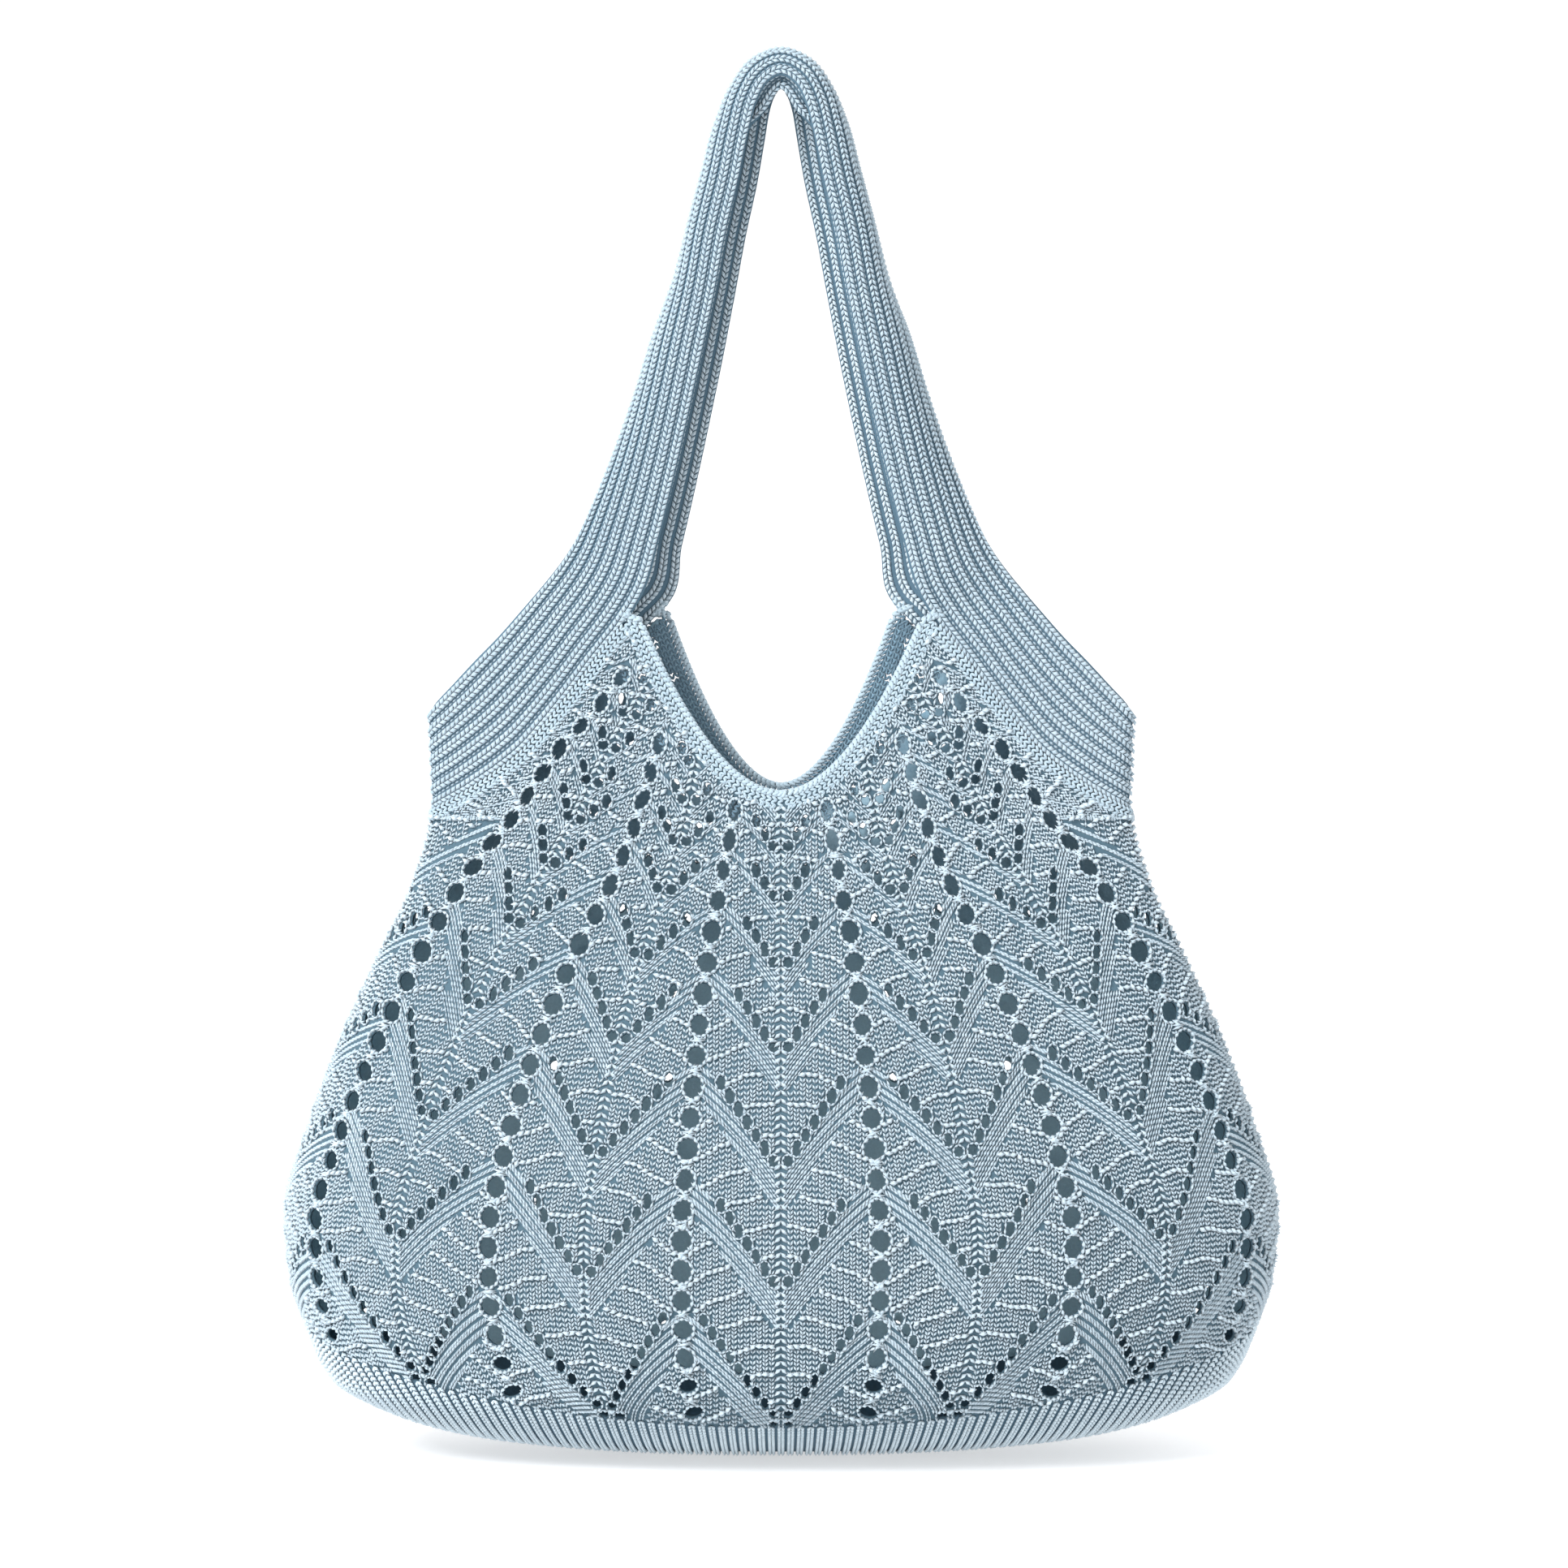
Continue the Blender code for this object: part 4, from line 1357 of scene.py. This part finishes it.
def makeBandShell():
    value = bandValues
    place = np.arange(value["samples"]) / (value["samples"] - 1) * value["ribs"]
    ribWave = np.cos(2 * math.pi * (place - 0.5))
    rings = []
    for side in (front, back):
        wave = ribWave[None, :, None] * value["relief"] - value["sink"]
        grid, normals = bandSurface[side], gridNormals(side)
        faces = [grid + normals * (wave - wall) for wall in (0, value["wall"])]
        rings.append([face[::-side][:-1] for face in faces])
    outer, inner = (np.concatenate(pair) for pair in zip(*rings))
    stations, across = outer.shape[0], outer.shape[1]
    verts = np.concatenate([outer.reshape(-1, 3), inner.reshape(-1, 3)])
    half, last = stations * across, across - 1
    faces = []
    for station in range(stations):
        here, ahead = station * across, (station + 1) % stations * across
        for k in range(last):
            outerFace = (here + k, ahead + k, ahead + k + 1, here + k + 1)
            faces.append(outerFace)
            faces.append(tuple(half + corner for corner in (outerFace[0], *outerFace[:0:-1])))
        faces.append((ahead, here, half + here, half + ahead))
        faces.append((here + last, ahead + last, half + ahead + last, half + here + last))
    # the shell is painted dark, as the shade between the ribs
    return closeMesh("strapBacking", verts, faces, "ribPaintedShadeYarn")


def makeBand():
    value = bandValues
    backing = makeBandShell()
    outside, inside = StitchList(), StitchList()
    pitch = value["stitchPitch"]
    for side in (front, back):
        for rib in range(value["ribs"]):
            for leg in (-1, 1):
                position = rib + 0.5 + leg * value["legSide"]
                for stitches, face, centre, lift in (
                    (outside, 1, position, value["lift"]),
                    (inside, -1, position - value["insideShift"], value["insideLift"]),
                ):
                    place, way, out, width = sampleRib(side, centre / value["ribs"])
                    out = out * face
                    lean = leg * face * side * math.radians(value["legTilt"])
                    along = turned(np.cross(way, out), way, lean + rng.normal(0, 0.06, len(place)))
                    size = (
                        pitch * value["legLength"], width * value["legWidth"], value["legHeight"])
                    stitches.add(place, along, out, size, rng.uniform(0.1, 0.8, len(place)), lift)
            if rib < value["ribs"] - 1:
                place, way, out, width = sampleRib(side, (rib + 1) / value["ribs"], 0.25)
                size = (
                    pitch * value["purlLength"], width * value["purlWidth"], value["purlHeight"])
                # painted shade: the low purl column takes the deepest tint
                outside.add(place, way, out, size, 1.1, value["purlLift"])
    raised = outside.knit("strapStitches", "ribYarn", 4)
    # painted light: the stitches on the inside faces take the lighter base yarn
    hidden = inside.knit("strapInsideStitches", "baseYarn", 4)
    handOver((backing, raised, hidden), "strap_band")


# The neck edges: a twisted cord with a chain below it

edgeValues = {
    "radius": 1.8 * mm,
    "gap": 0.3 * mm,
    "pitch": 2.3 * mm,
    "places": 260,
    "runFrom": 1.5 * mm,  # each end runs on behind the inner edge of the handle
    "runTo": 9 * mm,
    "runSide": 4.2 * mm,
    "runDeep": 1.2 * mm,
    "cordSize": (3.7 * mm, 1.75 * mm, 1.7 * mm),
    "cordRadius": 0.85 * mm,
    "cordLean": 0.75,
    "chainRow": 2.4 * mm,
    "chainStart": 0.2 * mm,
    "chainSide": 0.55 * mm,
    "chainSize": (3.0 * mm, 1.25 * mm, 2.0 * mm),
}


def neckLine(side):
    # the middle of the lace wall along the neckline, left corner to right
    value = edgeValues
    t = np.linspace(1, 0, value["places"] // 2)
    drop = neckValues["lowDrop"] - (neckValues["lowDrop"] - neckValues["highDrop"]) * t ** 2
    around = np.where(t > 0, neckEdge(side, drop - 1e-7), 0)
    around = np.concatenate([-around, around[-2::-1]])
    drop = np.concatenate([drop, drop[-2::-1]])
    point, _, _, out = skinFrame(side, around, drop)
    point = point - out * bodyValues["laceMiddle"]
    inner = bandSurface[side][:, 0]
    rise = inner[:, 2] - point[-1][2]
    run = inner[(inner[:, 0] > 0) & (rise > value["runFrom"]) & (rise < value["runTo"])]
    run = run[np.argsort(run[:, 2])] + (value["runSide"], -side * value["runDeep"], 0)
    point = np.concatenate([run[::-1] * (-1, 1, 1), point, run])
    first, last = (np.repeat(out[[end]], len(run), axis=0) for end in (0, -1))
    return point, np.concatenate([first, out, last])


def addChains(stitches, place, way, face, into, rows, lift):
    # rows of V stitches that follow an edge of the lace
    value = edgeValues
    for row in rows:
        for leg in (-1, 1):
            down = row * value["chainRow"] + value["chainStart"] + leg * value["chainSide"]
            stitches.add(place - into * down + face * lift, unit(way + into * leg * 0.5), face,
                         value["chainSize"], rng.uniform(0.2, 0.9, len(place)))


def addArmEdges(stitches, side):
    # a chain that sews the lace to the band, and another beside it
    drop = np.linspace(neckValues["highDrop"] + 1 * mm, neckValues["sideLow"] - 0.3 * mm, 120)
    for mirror in (1, -1):
        point, _, _, out = skinFrame(side, mirror * armEdge(side, drop), drop)
        place, way, face = evenly(point, out, edgeValues["pitch"])
        into = unit(np.cross(face, way))
        into *= np.sign(into[:, 2])[:, None]
        addChains(stitches, place, way, face, into, (-0.3, 0.7), -0.2 * mm)


def makeNeckEdge(side, name, node):
    value = edgeValues
    line, out = neckLine(side)
    place, way, face = evenly(line, out, value["pitch"])
    into = unit(np.cross(face, way))
    into *= np.sign(into[:, 2] - into[:, 0] * place[:, 0] * 60)[:, None]
    stitches, inner = StitchList(), StitchList()
    centre = place + into * (value["radius"] + value["gap"])
    tints = rng.uniform(0.1, 0.7, len(place))
    # a cord of twisted strands: each strand crosses the cord at a slant, on four faces
    for turn in range(4):
        angle = math.pi / 2 * turn
        outward = face * math.cos(angle) + into * math.sin(angle)
        along = unit(way + (into * math.cos(angle) - face * math.sin(angle)) * value["cordLean"])
        shift = way * (value["pitch"] * turn / 4)
        strand = centre + shift + outward * value["cordRadius"]
        stitches.add(strand, along, outward, value["cordSize"], tints)
    # chains of stitches on the lace just below the cord, and down the inside of the lace
    low = place[:, 2] < -neckValues["highDrop"] + 1 * mm
    place, way, face, into = (part[low] for part in (place, way, face, into))
    addChains(stitches, place, way, face, into, (0.1, 1.1), 0.8 * mm)
    addArmEdges(stitches, side)
    made = stitches.knit(name, "edgeYarn", 5, 3)
    # the chains down the inside take a dark yarn as painted shade
    addChains(inner, place, way, -face, into, range(6), 1.0 * mm)
    handOver((made, inner.knit(name + "Inside", "neckInsidePaintedShadeYarn", 5, 3)), node)


# All the pieces

makeCamera()
makeStudio()
stitchTree = makeStitchTree()
yarns = {name: makeYarnMaterial(name, *colours) for name, colours in yarnColours.items()}
print("studio and yarns ready")
makeLacePanel(front, "laceFront", "lace_front")
makeLacePanel(back, "laceBack", "lace_back")
print("lace knitted")
makeBase()
print("base knitted")
makeBand()
print("strap knitted")
makeNeckEdge(front, "neckEdgeFront", "neck_edge_front")
makeNeckEdge(back, "neckEdgeBack", "neck_edge_back")
print("neck edges knitted")
